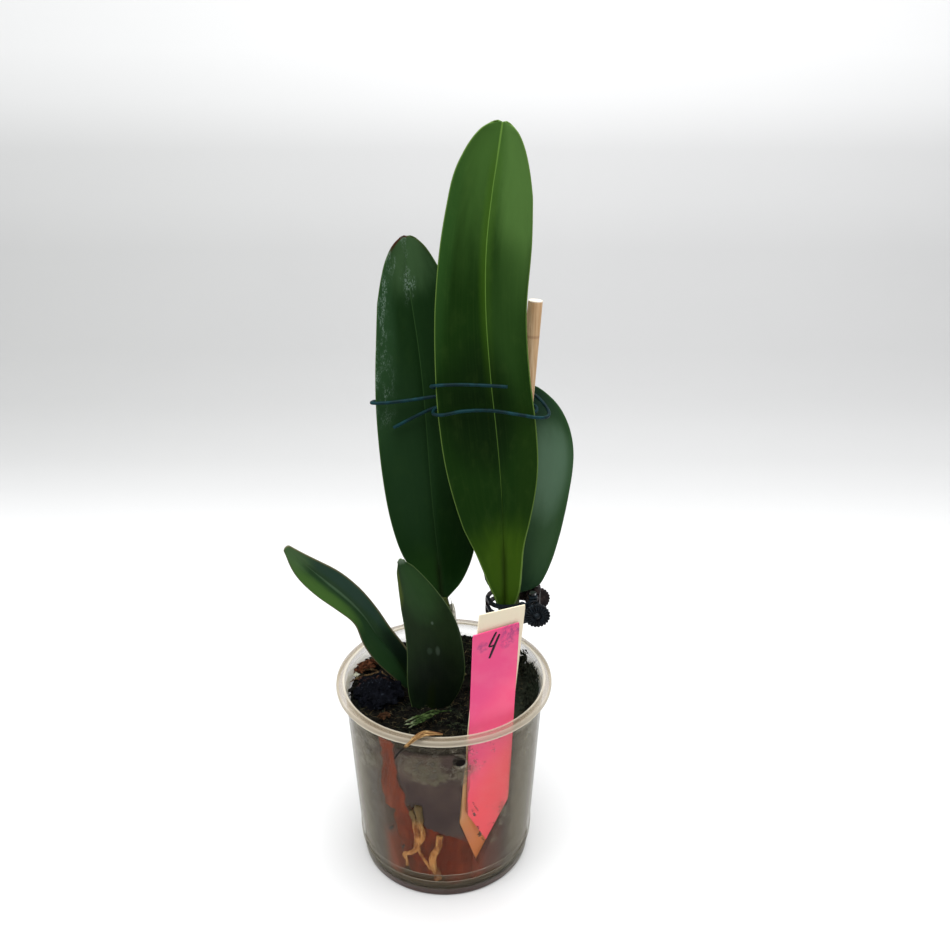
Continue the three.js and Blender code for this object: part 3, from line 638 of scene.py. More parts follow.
def pot_outline():
    """Closed outline up the outside, over the rim and down the inside: radius, height, cloud, and pale, the
    share of painted highlight along the rim's edges, the ridges of the rings and the foot.
    """
    outline = [(0, 0, 0.1, 0), (34.1, 0, 0.12, 0), (34.6, 0.25, 0.3, 0.3), (34.9, 0.9, 0.08, 0)]
    outline += [(35.3, 6.0, 0, 0), (35.65, 6.35, 0.16, 0.3), (35.9, 6.8, 0, 0)]
    for z in (8.6, 12.2):
        r = wall_radius(z)
        outline += [(r, z - 0.4, 0, 0), (r + 0.2, z - 0.22, 0.06, 0.2), (r + 0.35, z, 0.36, 0.8)]
        outline += [(r + 0.2, z + 0.22, 0.06, 0.2), (r, z + 0.4, 0, 0)]
    outline += [(wall_radius(z), z, 0, 0) for z in (20, 30, 40, 50, 60, 70, 78)]
    outline += [
        (wall_radius(80.4), 80.4, 0.05, 0), (40.6, 80.8, 0.12, 0), (42.2, 80.72, 0.3, 0.2),
        (42.75, 80.42, 0.85, 0.9), (43.15, 80.34, 0.98, 1), (43.46, 80.6, 0.9, 1), (43.52, 80.95, 0.6, 0.45),
        (43.5, 81.5, 0.56, 0.26), (43.4, 82.2, 0.58, 0.36), (43.1, 82.7, 0.6, 0.4), (42.6, 82.84, 0.56, 0.1),
        (41.9, 82.72, 0.54, 0.02), (41.2, 82.78, 0.54, 0.06), (40.75, 82.98, 0.62, 0.5),
        (40.3, 82.9, 0.75, 0.85), (39.95, 82.5, 0.5, 0.4), (39.5, 81.2, 0.3, 0.3),
    ]
    outline += [(wall_radius(z) - WALL_THICK, z, 0, 0) for z in (78, 70, 60, 50, 40, 30, 20, 8)]
    outline += [(34.0, 3.2, 0.03, 0), (33.4, 1.7, 0.03, 0), (32.6, 1.2, 0.05, 0), (0, 1.2, 0.05, 0)]
    return outline


def turn_pot():
    """The clear shell: its outline spun once round, then pierced by the air and drain holes."""
    outline = pot_outline()
    cloud, pale = ([point[k] for point in outline] for k in (2, 3))
    pot = spin_round("pot_shell", [point[:2] for point in outline], 144, cloud=cloud, pale=pale)
    drills = []
    for k in range(3):
        angle = radians(AIR_HOLE_TURN - 90 + 120 * k)
        out = Vector((cos(angle), sin(angle), 0))
        bpy.ops.mesh.primitive_cylinder_add(
            vertices=32, radius=AIR_HOLE_RADIUS * MM, depth=0.012,
            location=out * 0.0395 + Vector((0, 0, AIR_HOLE_HEIGHT * MM)),
            rotation=out.to_track_quat("Z", "Y").to_euler(),
        )
        drills.append(fresh("air_drill"))
    for k in range(6):
        angle = tau * (k + 0.5) / 6
        bpy.ops.mesh.primitive_cylinder_add(
            vertices=24, radius=DRAIN_RADIUS * MM, depth=0.006,
            location=Vector((cos(angle), sin(angle), 0)) * DRAIN_CIRCLE * MM,
        )
        drills.append(fresh("drain_drill"))
    drill = join("drills", drills)
    apply_with(pot, "BOOLEAN", operation="DIFFERENCE", object=drill, solver="EXACT")
    bpy.data.objects.remove(drill)
    round_off(pot, 50)
    return pot


def from_air_hole(finish, turn, z):
    """Millimetres round and up from the middle of the air hole at the front."""
    return finish.off(turn, AIR_HOLE_TURN, 1 / DEGREE), finish.off(z, AIR_HOLE_HEIGHT * MM, MM)


def hazed_plastic():
    """Clear plastic with a milky haze, thicker at the lips, and dirt dried on here and there, with painted
    highlights along the rim, the ring ridges and round the air hole.
    """
    wall = Finish("hazed_clear_plastic", rough=0.25, shine=0.3)
    x, y, z = wall.axes()
    turn = wall.turned(x, y)

    def patch(degrees, height, wide, high, fade=0.4):
        """An oval spot: degrees from the front, height, half width and half height in millimetres."""
        away = wall.square(wall.off(turn, degrees, wide / DEGREE), wall.off(z, height * MM, high * MM))
        return wall.span(away, 1.0, fade * fade)

    fine = wall.clouds(620.0, detail=5, rough=0.7)
    blots = wall.clouds(150.0, detail=4, rough=0.62)
    broad = wall.clouds(55.0, detail=3)
    clots = wall.clouds(400.0, detail=3, rough=0.5)
    soil = wall.times(patch(-3, 66, 19, 8), wall.span(blots, 0.36, 0.6))
    drips = wall.times(patch(-1, 60.5, 15, 3), wall.span(blots, 0.48, 0.56))
    moss = wall.most(patch(-56, 68, 16, 15), patch(38.5, 37, 2.6, 8), patch(33, 26, 2.4, 6))
    moss = wall.times(moss, wall.span(blots, 0.4, 0.62))
    smear = wall.times(patch(60, 66, 9, 13), wall.span(blots, 0.48, 0.66))
    dirt = wall.times(wall.most(soil, drips, moss, smear), wall.span(clots, 0.42, 0.54, 0.2, 1.0))
    crumbs = wall.times(
        wall.band(z, 0.0705, 0.073, 0.0785, 0.0805), wall.span(fine, 0.56, 0.66), wall.span(blots, 0.5, 0.58),
    )
    pepper = wall.times(
        wall.most(patch(-2, 69, 22, 10), patch(-56, 68, 15, 13)),
        wall.span(clots, 0.43, 0.38), wall.span(blots, 0.4, 0.48), 0.75,
    )
    specks = wall.times(wall.span(wall.cells(95.0), 0.04, 0.02), wall.span(wall.clouds(60.0), 0.53, 0.56))
    dark = wall.most(crumbs, pepper, specks)
    for degrees, height, wide, high in (
        (-47, 45.6, 0.6, 0.7), (-34.8, 31, 1.1, 0.6), (-33.4, 31.8, 0.5, 1.2), (-26, 24, 0.6, 0.9),
        (19.1, 42.3, 0.7, 0.6), (18.4, 48.1, 0.3, 0.3), (19.7, 46, 0.35, 0.3), (21, 44.4, 0.3, 0.4),
        (17.8, 44.4, 0.25, 0.3), (21.7, 34.9, 0.4, 0.4), (22.7, 30.7, 1.0, 0.5), (23.2, 31.3, 0.5, 1.1),
        (25.1, 28, 0.35, 0.4),
    ):
        dark = wall.most(dark, patch(degrees, height, wide, high, 0.7))
    strokes = wall.span(wall.clouds(420.0, (1, 1, 0.35)), 0.56, 0.62, 0.0, 0.6)
    dark = wall.most(dark, wall.times(patch(66, 60, 3.4, 7), strokes))
    across, up = from_air_hole(wall, turn, z)
    # painted highlight on the lip of the air hole, brightest towards its lower right
    lit_towards_lower_right = wall.span(wall.sums("SUBTRACT", across, up), -1.4, 3.0, 0.05, 0.55)
    hole_lip_highlight = wall.times(wall.band(wall.far(across, up), 1.8, 2.1, 2.3, 2.8), lit_towards_lower_right)
    edge = wall.node("LayerWeight")
    edge.inputs["Blend"].default_value = 0.5
    facing = edge.outputs["Facing"]
    sides = wall.times(
        wall.most(wall.span(turn, 40, 52), wall.span(turn, -46, -62)),
        wall.span(z, 0.080, 0.074), wall.span(z, 0.004, 0.022, 0.3, 1.0),
    )
    film = wall.band(z, 0.0735, 0.0765, 0.0805, 0.0815)
    round_back = wall.sums("ABSOLUTE", turn)
    filmy = wall.times(wall.span(round_back, 40, 86, 0.04, 0.34), wall.span(round_back, 155, 109, 0.2, 1.0))
    haze = wall.plus(
        wall.times(wall.sums("POWER", facing, 2.6), 0.6), wall.times(wall.span(broad, 0.3, 0.75), 0.012),
        wall.times(sides, 0.25), wall.times(film, filmy),
    )
    haze = wall.plus(wall.most(haze, wall.read("cloud")), wall.times(dirt, 0.5))
    foot = wall.span(z, 0.0046, 0.0028)
    cover = wall.most(haze, hole_lip_highlight, wall.times(dark, 0.85), wall.times(foot, 0.95))
    wall.feed(wall.shader.inputs["Alpha"], wall.sums("MINIMUM", cover, 0.98))
    rim = wall.span(z, 0.0800, 0.0806)
    flank = wall.span(round_back, 28.6, 74.5)
    wall.colour(wall.coats(
        wall.over((146, 134, 112), (108, 101, 78), facing, 0.2, 0.95),
        (wall.times(film, wall.span(round_back, 34.4, 63)), (228, 222, 200)),
        (rim, (140, 124, 102)),
        # painted highlight lines along the rim's edges, the ring ridges and the foot
        (wall.read("pale"), (230, 222, 202)),
        (wall.times(rim, wall.span(facing, 0.8, 0.97, 0.0, 0.7)), (150, 146, 128)),
        (foot, wall.mix(flank, (54, 22, 4), (108, 100, 80))),
        (wall.times(dirt, 0.9), (90, 84, 60)),
        (hole_lip_highlight, (206, 200, 184)),
        (dark, (30, 26, 20)),
    ))
    return wall.material


hand_over(turn_pot(), hazed_plastic(), ["pot"])


# ---------------- bark mix that fills the pot

MIX_TOP = 80
CRUMBS, SPLINTERS, TUFTS = 3000, 3000, 640

# Bark pieces along the wall: rows of height and two edges in degrees from +X, then how far in they
# lie, how thick they are and how ragged.
SLABS = {
    "bark_strip": (
        [(74.5, -129.6, -119), (65, -129, -118.2), (56, -130, -117), (48.8, -131.4, -113.4),
         (41, -128.6, -112)],
        0.4, 1.8, 1.6,
    ),
    "bark_slab": (
        [(44, -126.4, -111.6), (36.5, -126, -107), (30.5, -125, -84), (26, -123.6, -74), (18, -121, -68),
         (7.2, -115.6, -69)],
        2.6, 2.0, 2.2,
    ),
}


def surface_height(x, y):
    """Height of the mix in millimetres, before its crumbs, heaped a little round the front leaf."""
    share = hypot(x, y) / 40.3
    lumps = sin(0.37 * x + 1.1) * cos(0.31 * y - 0.4) + 0.5 * sin(0.83 * x - 0.62 * y)
    heap = 2.6 * exp(-(((x + 4.6) / 10) ** 2) - ((y + 12.4) / 3.6) ** 2)
    return 72.3 + 4.6 * share * share + 0.03 * y + 0.9 * lumps * min(1, 2.4 - 2 * share) + heap


def rough(x, y, z, size):
    return noise.fractal(Vector((x, y, z)) / size, 0.8, 2.1, 4)


def set_back(degrees, z):
    """How far the mix stands back from the wall behind roots and bark pieces, in millimetres."""
    deepest = 0.0
    for rows, inward, thick, _ in SLABS.values():
        for above, below in zip(rows, rows[1:]):
            if below[0] <= z <= above[0]:
                share = (above[0] - z) / (above[0] - below[0])
                left = above[1] + (below[1] - above[1]) * share
                right = above[2] + (below[2] - above[2]) * share
                inside = ease(left - 3, left - 0.5, degrees) * ease(right + 1.5, right - 2, degrees)
                deepest = max(deepest, (inward + 0.6 * thick) * inside)
    root = ease(-113, -109.5, degrees) * ease(-101, -104.5, degrees) * ease(49, 42, z) * ease(24, 28, z)
    return max(deepest, 3.0 * root)


def fill_pot():
    """The filling: an outline spun round, its top and side broken up and set back behind roots and bark
    pieces; room for the labels is cut from it afterwards.
    """
    rows = [(0, 1.35), (32.4, 1.35), (33.3, 1.9), (33.8, 3.2), (34.3, 5.2), (34.7, 6.8)]
    rows += [(wall_radius(z) - WALL_THICK, z) for z in range(8, 75)]
    rows += [(38.9 - 38.9 * k / 38, MIX_TOP) for k in range(1, 39)]
    mix = spin_round("bark_mix", rows, 240)

    def crumble(co):
        x, y, z = co / MM
        r = hypot(x, y)
        if r < 0.001 or z < 1.4:
            return co
        if z > MIX_TOP - 1:
            height = surface_height(x, y) + 1.1 * rough(x, y, 3, 3.4) + 0.6 * rough(x, y, 9, 1.2)
            return Vector((x, y, min(height, MIX_TOP - 0.5))) * MM
        soft = noise.noise(Vector((x, y, z)) / 7)
        depth = 0.25 + (0.25 + 0.35 * soft) * ease(2, 9, z) + 0.5 * ease(72, 74, z)
        depth = max(0.15, depth) + set_back(in_degrees(atan2(y, x)), z)
        share = (r - depth) / r
        return Vector((x * share, y * share, z)) * MM

    reshape(mix, crumble)
    round_off(mix, 70)
    return mix


def damp_bark():
    """Near-black wet bark on top; purple-grey and red-brown where it shows through the wall."""
    mix = Finish("damp_bark_mix", rough=0.95, shine=0.06)
    where = mix.place()
    x, y, z = mix.axes()
    turn = mix.turned(x, y)
    fine = mix.grain(where, 900.0, detail=6, rough=0.75)
    lumps = mix.grain(where, 210.0, detail=4, rough=0.6)
    strands = mix.grain(mix.place((1, 0.25, 0.6), (0, 0, 0.6)), 700.0, detail=4, twist=1.2)
    top = mix.over((9, 9, 8), (27, 25, 20), lumps, 0.35, 0.72)
    # pale specks over the top: partly bits of pale fibre, partly painted glints on the wet surface
    top = mix.over(top, (70, 66, 50), fine, 0.58, 0.74, 0.8)
    top = mix.over(top, (44, 54, 40), strands, 0.6, 0.7, 0.6)
    cloud = mix.grain(where, 60.0, detail=4, rough=0.55)
    side = mix.over((62, 50, 51), (82, 68, 64), cloud, 0.35, 0.68)
    low = mix.plus(z, mix.sums("MULTIPLY_ADD", cloud, 0.02, -0.01))
    ruddy = mix.times(mix.span(low, 0.034, 0.026), mix.band(turn, -46, -34, 24, 48))
    side = mix.mix(ruddy, side, mix.over((92, 32, 22), (114, 50, 36), cloud, 0.4, 0.6))
    plum = mix.times(mix.span(low, 0.032, 0.022), mix.span(turn, 22, 30))
    side = mix.mix(mix.times(plum, 0.6), side, (84, 62, 62))
    side = mix.over(side, (58, 40, 26), low, 0.011, 0.006)
    flank = mix.span(mix.sums("ABSOLUTE", turn), 36, 52, 0.0, 0.7)
    side = mix.mix(flank, side, mix.over((64, 66, 68), (88, 92, 92), lumps, 0.4, 0.6))
    upper = mix.span(z, 0.0715, 0.0735)
    inner = mix.span(mix.far(x, y), 0.0355, 0.034)
    upper = mix.most(upper, mix.times(inner, mix.span(z, 0.066, 0.069)))
    # painted shade: the mix is darker behind and round the air hole
    hole = mix.far(*from_air_hole(mix, turn, z))
    side = mix.over(side, (26, 22, 22), hole, 3.6, 2.4)
    top = mix.over(top, (52, 58, 46), x, 0.02, 0.03, 0.5)
    mix.colour(mix.mix(upper, side, top))
    mix.relief(mix.times(mix.plus(fine, lumps), upper), 0.0012, 0.9)
    return mix.material


BARK_MIX = damp_bark()


def seed_crumb():
    bpy.ops.mesh.primitive_ico_sphere_add(subdivisions=1, radius=1)
    crumb = fresh("crumb_seed")
    reshape(crumb, lambda co: co * (1 + 0.45 * noise.noise(co * 2.3)))
    return crumb


def seed_fibre():
    """A thin bent splinter, four-sided and pointed at both ends."""
    bpy.ops.mesh.primitive_cylinder_add(vertices=4, radius=1, depth=2)
    fibre = fresh("fibre_seed")
    ring_at((-0.5, 0, 0.5))

    def bend(co):
        slim = 1 - 0.8 * co.z * co.z
        return Vector((co.x * slim + 4.5 * co.z * co.z, co.y * slim, co.z))

    reshape(fibre, bend)
    return fibre


def lying(x, y, z, size, tilt, spin):
    turn = Matrix.Rotation(spin, 4, "Z") @ Matrix.Rotation(tilt, 4, "Y")
    return Matrix.Translation(Vector((x, y, z)) * MM) @ turn @ Matrix.Diagonal((*(Vector(size) * MM), 1))


def clear_of_labels(x, y):
    """False in front of the labels, where they stand against the wall."""
    turn = in_degrees(atan2(x, -y))
    return not (11 < turn < 48 and hypot(x, y) > 31)


def on_surface(reach):
    """A chance place on the mix in millimetres, clear of the labels, and the height of the mix there."""
    while True:
        r, a = reach * sqrt(chance.random()), blur(-pi, pi)
        x, y = r * cos(a), r * sin(a)
        if clear_of_labels(x, y):
            return x, y, surface_height(x, y) + 1.1 * rough(x, y, 3, 3.4)


def fibre_skin(name, dark, light, green):
    fibre = Finish(name, rough=0.85, shine=0.08)
    patchy = fibre.clouds(420.0, detail=3)
    tone = fibre.over(dark, light, patchy, 0.4, 0.66)
    mossy = fibre.clouds(90.0)
    fibre.colour(fibre.over(tone, green, mossy, 0.5, 0.62, 0.7))
    return fibre.material


def strew_surface():
    """Crumbs and splinters over the top, standing up in ragged tufts along the right-hand wall."""
    crumbs, dark_fibres, pale_fibres = [], [], []
    for _ in range(CRUMBS):
        x, y, z = on_surface(38.2)
        size = blur(0.25, 0.6) if chance.random() < 0.88 else blur(0.6, 1.2)
        shape = (size * blur(0.7, 1.6), size, size * blur(0.4, 0.9))
        crumbs.append(lying(x, y, min(z + blur(-0.2, 0.5), 79.5), shape, blur(0, 0.9), blur(0, 6.3)))
    for _ in range(SPLINTERS):
        x, y, z = on_surface(37)
        brown = ease(-4, 4, x + 0.6 * y + 14) * ease(16, 6, x) * ease(4, -6, y)
        pale = chance.random() < 0.22 + 0.3 * brown
        shape = (blur(0.05, 0.13), blur(0.04, 0.1), blur(0.8, 2.6))
        spot = lying(x, y, min(z + blur(0.1, 0.8), 79.8), shape, blur(1.0, 2.0), blur(0, 6.3))
        (pale_fibres if pale else dark_fibres).append(spot)
    for k in range(TUFTS):
        turn = blur(-22, 62)
        a = radians(turn)
        lift = ease(-24, 16, turn) * ease(66, 34, turn)
        r = 38.2 - blur(0, 1) ** 1.6 * 5
        x, y = r * cos(a), r * sin(a)
        clump = 0.5 + 0.5 * sin(23 * a) * sin(9 * a + 1)
        z = 76.6 + blur(0, 1) * (1.6 + 6.6 * lift * clump)
        if k % 2:
            shape = (blur(0.3, 0.7), blur(0.3, 0.6), blur(0.3, 0.9))
            crumbs.append(lying(x, y, z, shape, blur(0, 1.2), blur(0, 6.3)))
        else:
            shape = (blur(0.09, 0.2), blur(0.08, 0.17), blur(1.1, 2.8))
            dark_fibres.append(lying(x, y, min(z, 82), shape, blur(-0.55, 0.55), blur(0, 6.3)))
    moss = (38, 52, 38)
    for name, seed, spots, finish in (
        ("mix_crumbs", seed_crumb(), crumbs, BARK_MIX),
        ("mix_fibres_dark", seed_fibre(), dark_fibres,
         fibre_skin("fibre_dark", (16, 15, 12), (46, 44, 34), moss)),
        ("mix_fibres_pale", seed_fibre(), pale_fibres,
         fibre_skin("fibre_pale", (58, 48, 32), (104, 92, 66), (70, 84, 62))),
    ):
        hand_over(scatter(name, seed, spots), finish)


# ---------------- labels

LABELS = {
    "label_pink": dict(tip=24.6, top=126, point=18.4, inward=0.35, aside=0.5, turn=0.2),
    "label_white": dict(tip=14.8, top=133, point=23, inward=1.35, aside=-3.2, turn=3.3),
}
LABEL_WIDTH, LABEL_THICK, LABEL_TURN, LABEL_LEAN = 19, 0.5, -61.3, 3.6


def label_frame(spec):
    """Takes a label's own frame, x across, y up from its tip, z outwards, to its place in the pot."""
    tip, point = spec["tip"], spec["point"]
    lean = radians(LABEL_LEAN)
    chord = sqrt((wall_radius(tip + point) - WALL_THICK) ** 2 - (LABEL_WIDTH / 2 + 0.3) ** 2)
    return (
        Matrix.Rotation(radians(LABEL_TURN + 90), 4, "Z")
        @ Matrix.Translation((0, point * sin(lean) - chord, tip))
        @ Matrix.Rotation(lean, 4, "X")
        @ Matrix.Translation((spec["aside"], LABEL_THICK + spec["inward"], 0))
        @ Matrix.Rotation(radians(spec["turn"]), 4, "Y")
        @ Matrix.Rotation(pi / 2, 4, "X")
    )


def cut_label(name, spec, grow=0.0, reach=0.0):
    """A pointed tag from a flat grid, made solid and stood in place. reach thickens it outwards."""
    label = flat_grid(name, 12, 80)
    length = spec["top"] - spec["tip"] + grow
    across, up = [], []
    for vertex in label.data.vertices:
        y = (vertex.co.y + 0.5) * length
        half = (LABEL_WIDTH / 2 + grow) * min(1, max(y, 0.15) / spec["point"])
        corner = 0.5 * max(0, y - length + 1) ** 2
        x = 2 * vertex.co.x * (half - corner * 0.4)
        vertex.co = Vector((x, y - 2 * grow, LABEL_THICK / 2))
        across.append(x)
        up.append(y)
    mark(label, "across", across)
    mark(label, "up", up)
    apply_with(label, "SOLIDIFY", thickness=LABEL_THICK + 2 * grow + reach, offset=reach and 1)
    place = label_frame(spec)
    reshape(label, lambda co: place @ co * MM)
    clean(label)
    round_off(label, 35)
    return label


def label_finish(name, above, middle, below, heights, ink=None):
    """Thin plastic, its tone changing downwards where it has stood in the damp mix."""
    sheet = Finish(name, rough=0.45, shine=0.2)
    across, up = sheet.read("across"), sheet.read("up")
    top, waist, low = heights
    wander = sheet.sums("MULTIPLY_ADD", sheet.clouds(60.0, detail=3), 16.0, -8.0)
    height = sheet.plus(sheet.plus(up, wander), sheet.times(across, -1.2))
    tone = sheet.mix(sheet.span(height, top, waist), above, middle)
    tone = sheet.mix(sheet.span(height, waist, low), tone, below)
    cloud = sheet.clouds(110.0, detail=3)
    tone = sheet.over(tone, (255, 200, 200), cloud, 0.4, 0.7, 0.05)
    if ink:
        mottle = sheet.span(sheet.clouds(420.0, detail=6, rough=0.75), 0.36, 0.66)
        smudge = 0.0
        for x, y, wide, high, share in (
            (7.6, 99.4, 7, 3.6, 0.8), (4.6, 95.6, 4, 4.4, 0.6), (-5.2, 95.4, 3.2, 3, 0.6),
        ):
            away = sheet.square(sheet.off(across, x, wide), sheet.off(up, y, high))
            smudge = sheet.most(sheet.span(away, 1.0, 0.2, 0.0, share), smudge)
        tone = sheet.mix(sheet.times(smudge, mottle), tone, ink)
    fleck = sheet.span(sheet.clouds(1100.0, detail=2), 0.62, 0.66)
    fleck = sheet.times(fleck, sheet.span(sheet.clouds(240.0), 0.52, 0.6))
    fleck = sheet.times(fleck, sheet.span(up, 34.0, 12.0, 0.0, 0.9))
    tone = sheet.mix(fleck, tone, (74, 50, 36))
    edge = sheet.sums("SUBTRACT", LABEL_WIDTH / 2, sheet.sums("ABSOLUTE", across))
    ragged = sheet.span(sheet.plus(edge, sheet.times(wander, 0.25)), 0.6, 0.1)
    tone = sheet.mix(sheet.times(ragged, sheet.span(up, 44, 26, 0.0, 0.7)), tone, (96, 84, 40))
    sheet.colour(tone)
    sheet.relief(sheet.clouds(300.0), 0.0002, 0.3)
    return sheet.material


def write_numeral():
    """The plain numeral 4 on the pink label, in three pen strokes."""
    place = label_frame(LABELS["label_pink"])
    lift = LABEL_THICK + 0.02
    strokes = (
        (0.46, [(-0.1, 100.4), (-1.5, 97.6), (-2.9, 94.8)]),
        (0.34, [(-2.9, 94.8), (-1.7, 94.7), (-0.3, 94.9)]),
        (0.5, [(1.3, 99.0), (-0.3, 95.3), (-1.5, 92.2), (-2.5, 89.6)]),
    )
    pens = []
    for radius, stroke in strokes:
        path = through([(x, y, 0) for x, y in stroke])
        pen = rod("pen_stroke", path, radius, 8, 14, lambda t: 0.8 + 0.3 * sin(pi * t) ** 0.5)
        reshape(pen, lambda co: place @ Vector((co.x / MM, co.y / MM, lift + co.z / MM * 0.2)) * MM)
        pens.append(pen)
    numeral = join("label_numeral", pens)
    ink = Finish("pen_ink", rough=0.5, shine=0.2)
    worn = ink.span(ink.clouds(900.0), 0.4, 0.7)
    ink.colour(ink.mix(worn, (18, 9, 18), (38, 20, 38)))
    hand_over(numeral, ink.material)


hand_over(
    cut_label("plant_label_pink", LABELS["label_pink"]),
    label_finish(
        "pink_label", (238, 78, 134), (255, 90, 136), (255, 86, 98), (84, 60, 22),
        ink=(118, 52, 112),
    ),
    ["label_pink"],
)
hand_over(
    cut_label("plant_label_white", LABELS["label_white"]),
    label_finish(
        "cream_label", (238, 226, 198), (208, 166, 112), (204, 118, 62), (90, 60, 16),
    ),
    ["label_white"],
)
write_numeral()

filling = fill_pot()
for spec in LABELS.values():
    cutter = cut_label("label_room", spec, grow=0.35, reach=7.0)
    apply_with(filling, "BOOLEAN", operation="DIFFERENCE", object=cutter, solver="EXACT")
    bpy.data.objects.remove(cutter)
hand_over(filling, BARK_MIX, ["substrate"])
strew_surface()


# ---------------- stems, rhizome and shoots

def green_stem(name, low, high, ring):
    stem = Finish(name, rough=0.55, shine=0.12)
    cloud = stem.clouds(300.0, (1, 1, 0.2), detail=4)
    tone = stem.over(low, high, cloud, 0.3, 0.7)
    rings = stem.clouds(420.0, (0.1, 0.1, 1), detail=2)
    stem.colour(stem.over(tone, ring, rings, 0.62, 0.72, 0.5))
    stem.relief(cloud, 0.0003, 0.5)
    return stem.material


STEM_ROUTES = {
    "stem_tall": [(17, 1.6, 75.8), (19.4, 2, 86), (22.4, 3, 99), (24.1, 3.9, 111.4)],
    "stem_left": [(4.6, 9.6, 77), (3.6, 10.4, 87), (1.4, 11.4, 100), (-0.8, 12, 112)],
    "stem_right": [(25.4, 18.4, 76.6), (26.6, 17.6, 88), (28, 15.8, 101), (28.5, 14.6, 115.4)],
}


def knuckled(t, first, last, joints, depth):
    """Radius share along a growth: tapered, with a swollen ring at each joint."""
    ring = sum(exp(-(((t - j) / 0.018) ** 2)) for j in joints)
    return first + (last - first) * t + depth * ring


STEM_GREEN = green_stem("stem_green", (42, 52, 18), (76, 86, 32), (104, 90, 52))
for name, route in STEM_ROUTES.items():
    growth = rod(
        name + "_growth", through(route), 3.1, 20, 70,
        lambda t: knuckled(t, 1.0, 0.72, (0.22, 0.5, 0.8), 0.06),
    )
    hand_over(growth, STEM_GREEN, [name])

creeping = [
    rod(
        "rhizome_run", through(route), 2.8, 14, 60,
        lambda t: knuckled(t, 0.95, 1.05, (0.15, 0.3, 0.45, 0.6, 0.75, 0.9), 0.09),
    )
    for route in (
        [(-11, 3.4, 71.6), (-4, 8, 71.4), (4.6, 10.4, 71.8), (15, 14.4, 71.6), (27, 18.2, 71.4)],
        [(14, 14, 71.6), (15.4, 8, 71.4), (17.2, -0.6, 71.4)],
        [(-3, 8, 71.4), (-4.6, 0, 70.8), (-4.8, -9.6, 70.6)],
    )
]
hand_over(
    join("rhizome_creeping", creeping),
    green_stem("rhizome_skin", (40, 40, 20), (78, 70, 38), (104, 88, 60)),
    ["rhizome"],
)


def wrap_sheath():
    """Torn papery sheath round one side of the left growth."""
    stem = through(STEM_ROUTES["stem_left"])
    sheath = flat_grid("papery_sheath", 40, 50)

    def wrap(co):
        t = co.y + 0.5
        angle = radians(-36 + 150 * (co.x + 0.5) + 22 * noise.noise(Vector((t * 4, co.x, 8))))
        torn = 3 * noise.noise(Vector((angle * 2.6, 4, 1))) + 2 * noise.noise(Vector((angle * 8, 2, 5)))
        z = 91 + t * (17 + min(torn, 2.2))
        centre = stem((z - 77) / 35)
        creased = noise.noise(Vector((angle * 3, z / 2, 0)))
        radius = 3.1 + 0.7 * t * t + 0.3 * sin(9 * angle) * t + 0.25 * creased
        return Vector((centre.x + radius * cos(angle), centre.y + radius * sin(angle), z)) * MM

    reshape(sheath, wrap)
    apply_with(sheath, "SOLIDIFY", thickness=0.15 * MM, offset=1)
    clean(sheath)
    bpy.ops.object.shade_smooth()
    return sheath


def papery(name, pale, brown, dark, lines=700.0):
    paper = Finish(name, rough=0.8, shine=0.1)
    streak = paper.grain(paper.place((1, 1, 0.12)), lines, detail=4)
    spot = paper.clouds(420.0, detail=4)
    tone = paper.over(brown, pale, streak, 0.3, 0.6)
    paper.colour(paper.over(tone, dark, spot, 0.58, 0.64, 0.85))
    paper.relief(streak, 0.0004, 0.8)
    return paper.material


hand_over(
    wrap_sheath(), papery("dry_sheath", (238, 236, 226), (206, 202, 180), (52, 50, 42)),
    ["sheath_left"],
)


def creep_shoot():
    """New shoot: narrow overlapping leaflets with splayed pale tips, drawn out to a thin strand."""
    routes = (
        (0.3, [(3.4, -15.6, 76.4), (0, -16.4, 76.8), (-3.6, -18.2, 77.2), (-6.4, -19.8, 77.2)]),
        (0.72, [(-1.6, -17.6, 76.8), (-5.4, -19.6, 77.3), (-9.2, -21.8, 77.2), (-12.4, -23.4, 76.4)]),
        (0.56, [(-3.8, -19.4, 76.5), (-7.4, -21.6, 76.8), (-11.2, -23.5, 76.5), (-15, -24.8, 76.4)]),
        (0.5, [(-4.6, -18.6, 77.2), (-8.6, -20.6, 78), (-12.4, -22.6, 77.8), (-14.8, -23.8, 76.9)]),
        (0.42, [(-6.4, -21.6, 76.2), (-9, -23.4, 76.5), (-11.6, -24.9, 76.1), (-13.2, -25.8, 75.5)]),
        (0.4, [(-1.2, -17, 77.4), (-3.8, -17.8, 78.2), (-6.6, -19.4, 78.4), (-8.8, -20.8, 77.9)]),
    )
    leaflets = [
        rod("leaflet", through(points), radius, 12, 40, lambda t: 0.06 + sin(pi * t ** 0.8) ** 0.7)
        for radius, points in routes
    ]
    shoot = join("shoot_leaflets", leaflets)

    def ridge(co):
        x, y, z = co / MM
        lift = 0.3 * noise.noise(Vector((x / 0.9, y / 0.9, z / 0.5)))
        return Vector((x, y + 0.6 * lift, 76.9 + (z - 76.9) * 0.8 + lift)) * MM

    reshape(shoot, ridge)
    mark(shoot, "along", [-v.co.x / MM for v in shoot.data.vertices])
    skin = Finish("shoot_skin", rough=0.7, shine=0.06)
    streak = skin.grain(skin.place((0.4, 1, 1), (0, 0, 0.5)), 1300.0, detail=4)
    tone = skin.over((20, 32, 12), (52, 70, 34), streak, 0.4, 0.62)
    pale = skin.clouds(800.0, detail=4)
    tone = skin.over(tone, (84, 102, 60), pale, 0.54, 0.64, 0.6)
    tips = skin.times(skin.span(skin.read("along"), 9.5, 14.5), skin.span(pale, 0.36, 0.58))
    skin.colour(skin.mix(tips, tone, (128, 138, 108)))
    skin.relief(streak, 0.0006, 1.0)
    return shoot, skin.material


shoot, shoot_skin = creep_shoot()
hand_over(shoot, shoot_skin, ["green_shoot"])


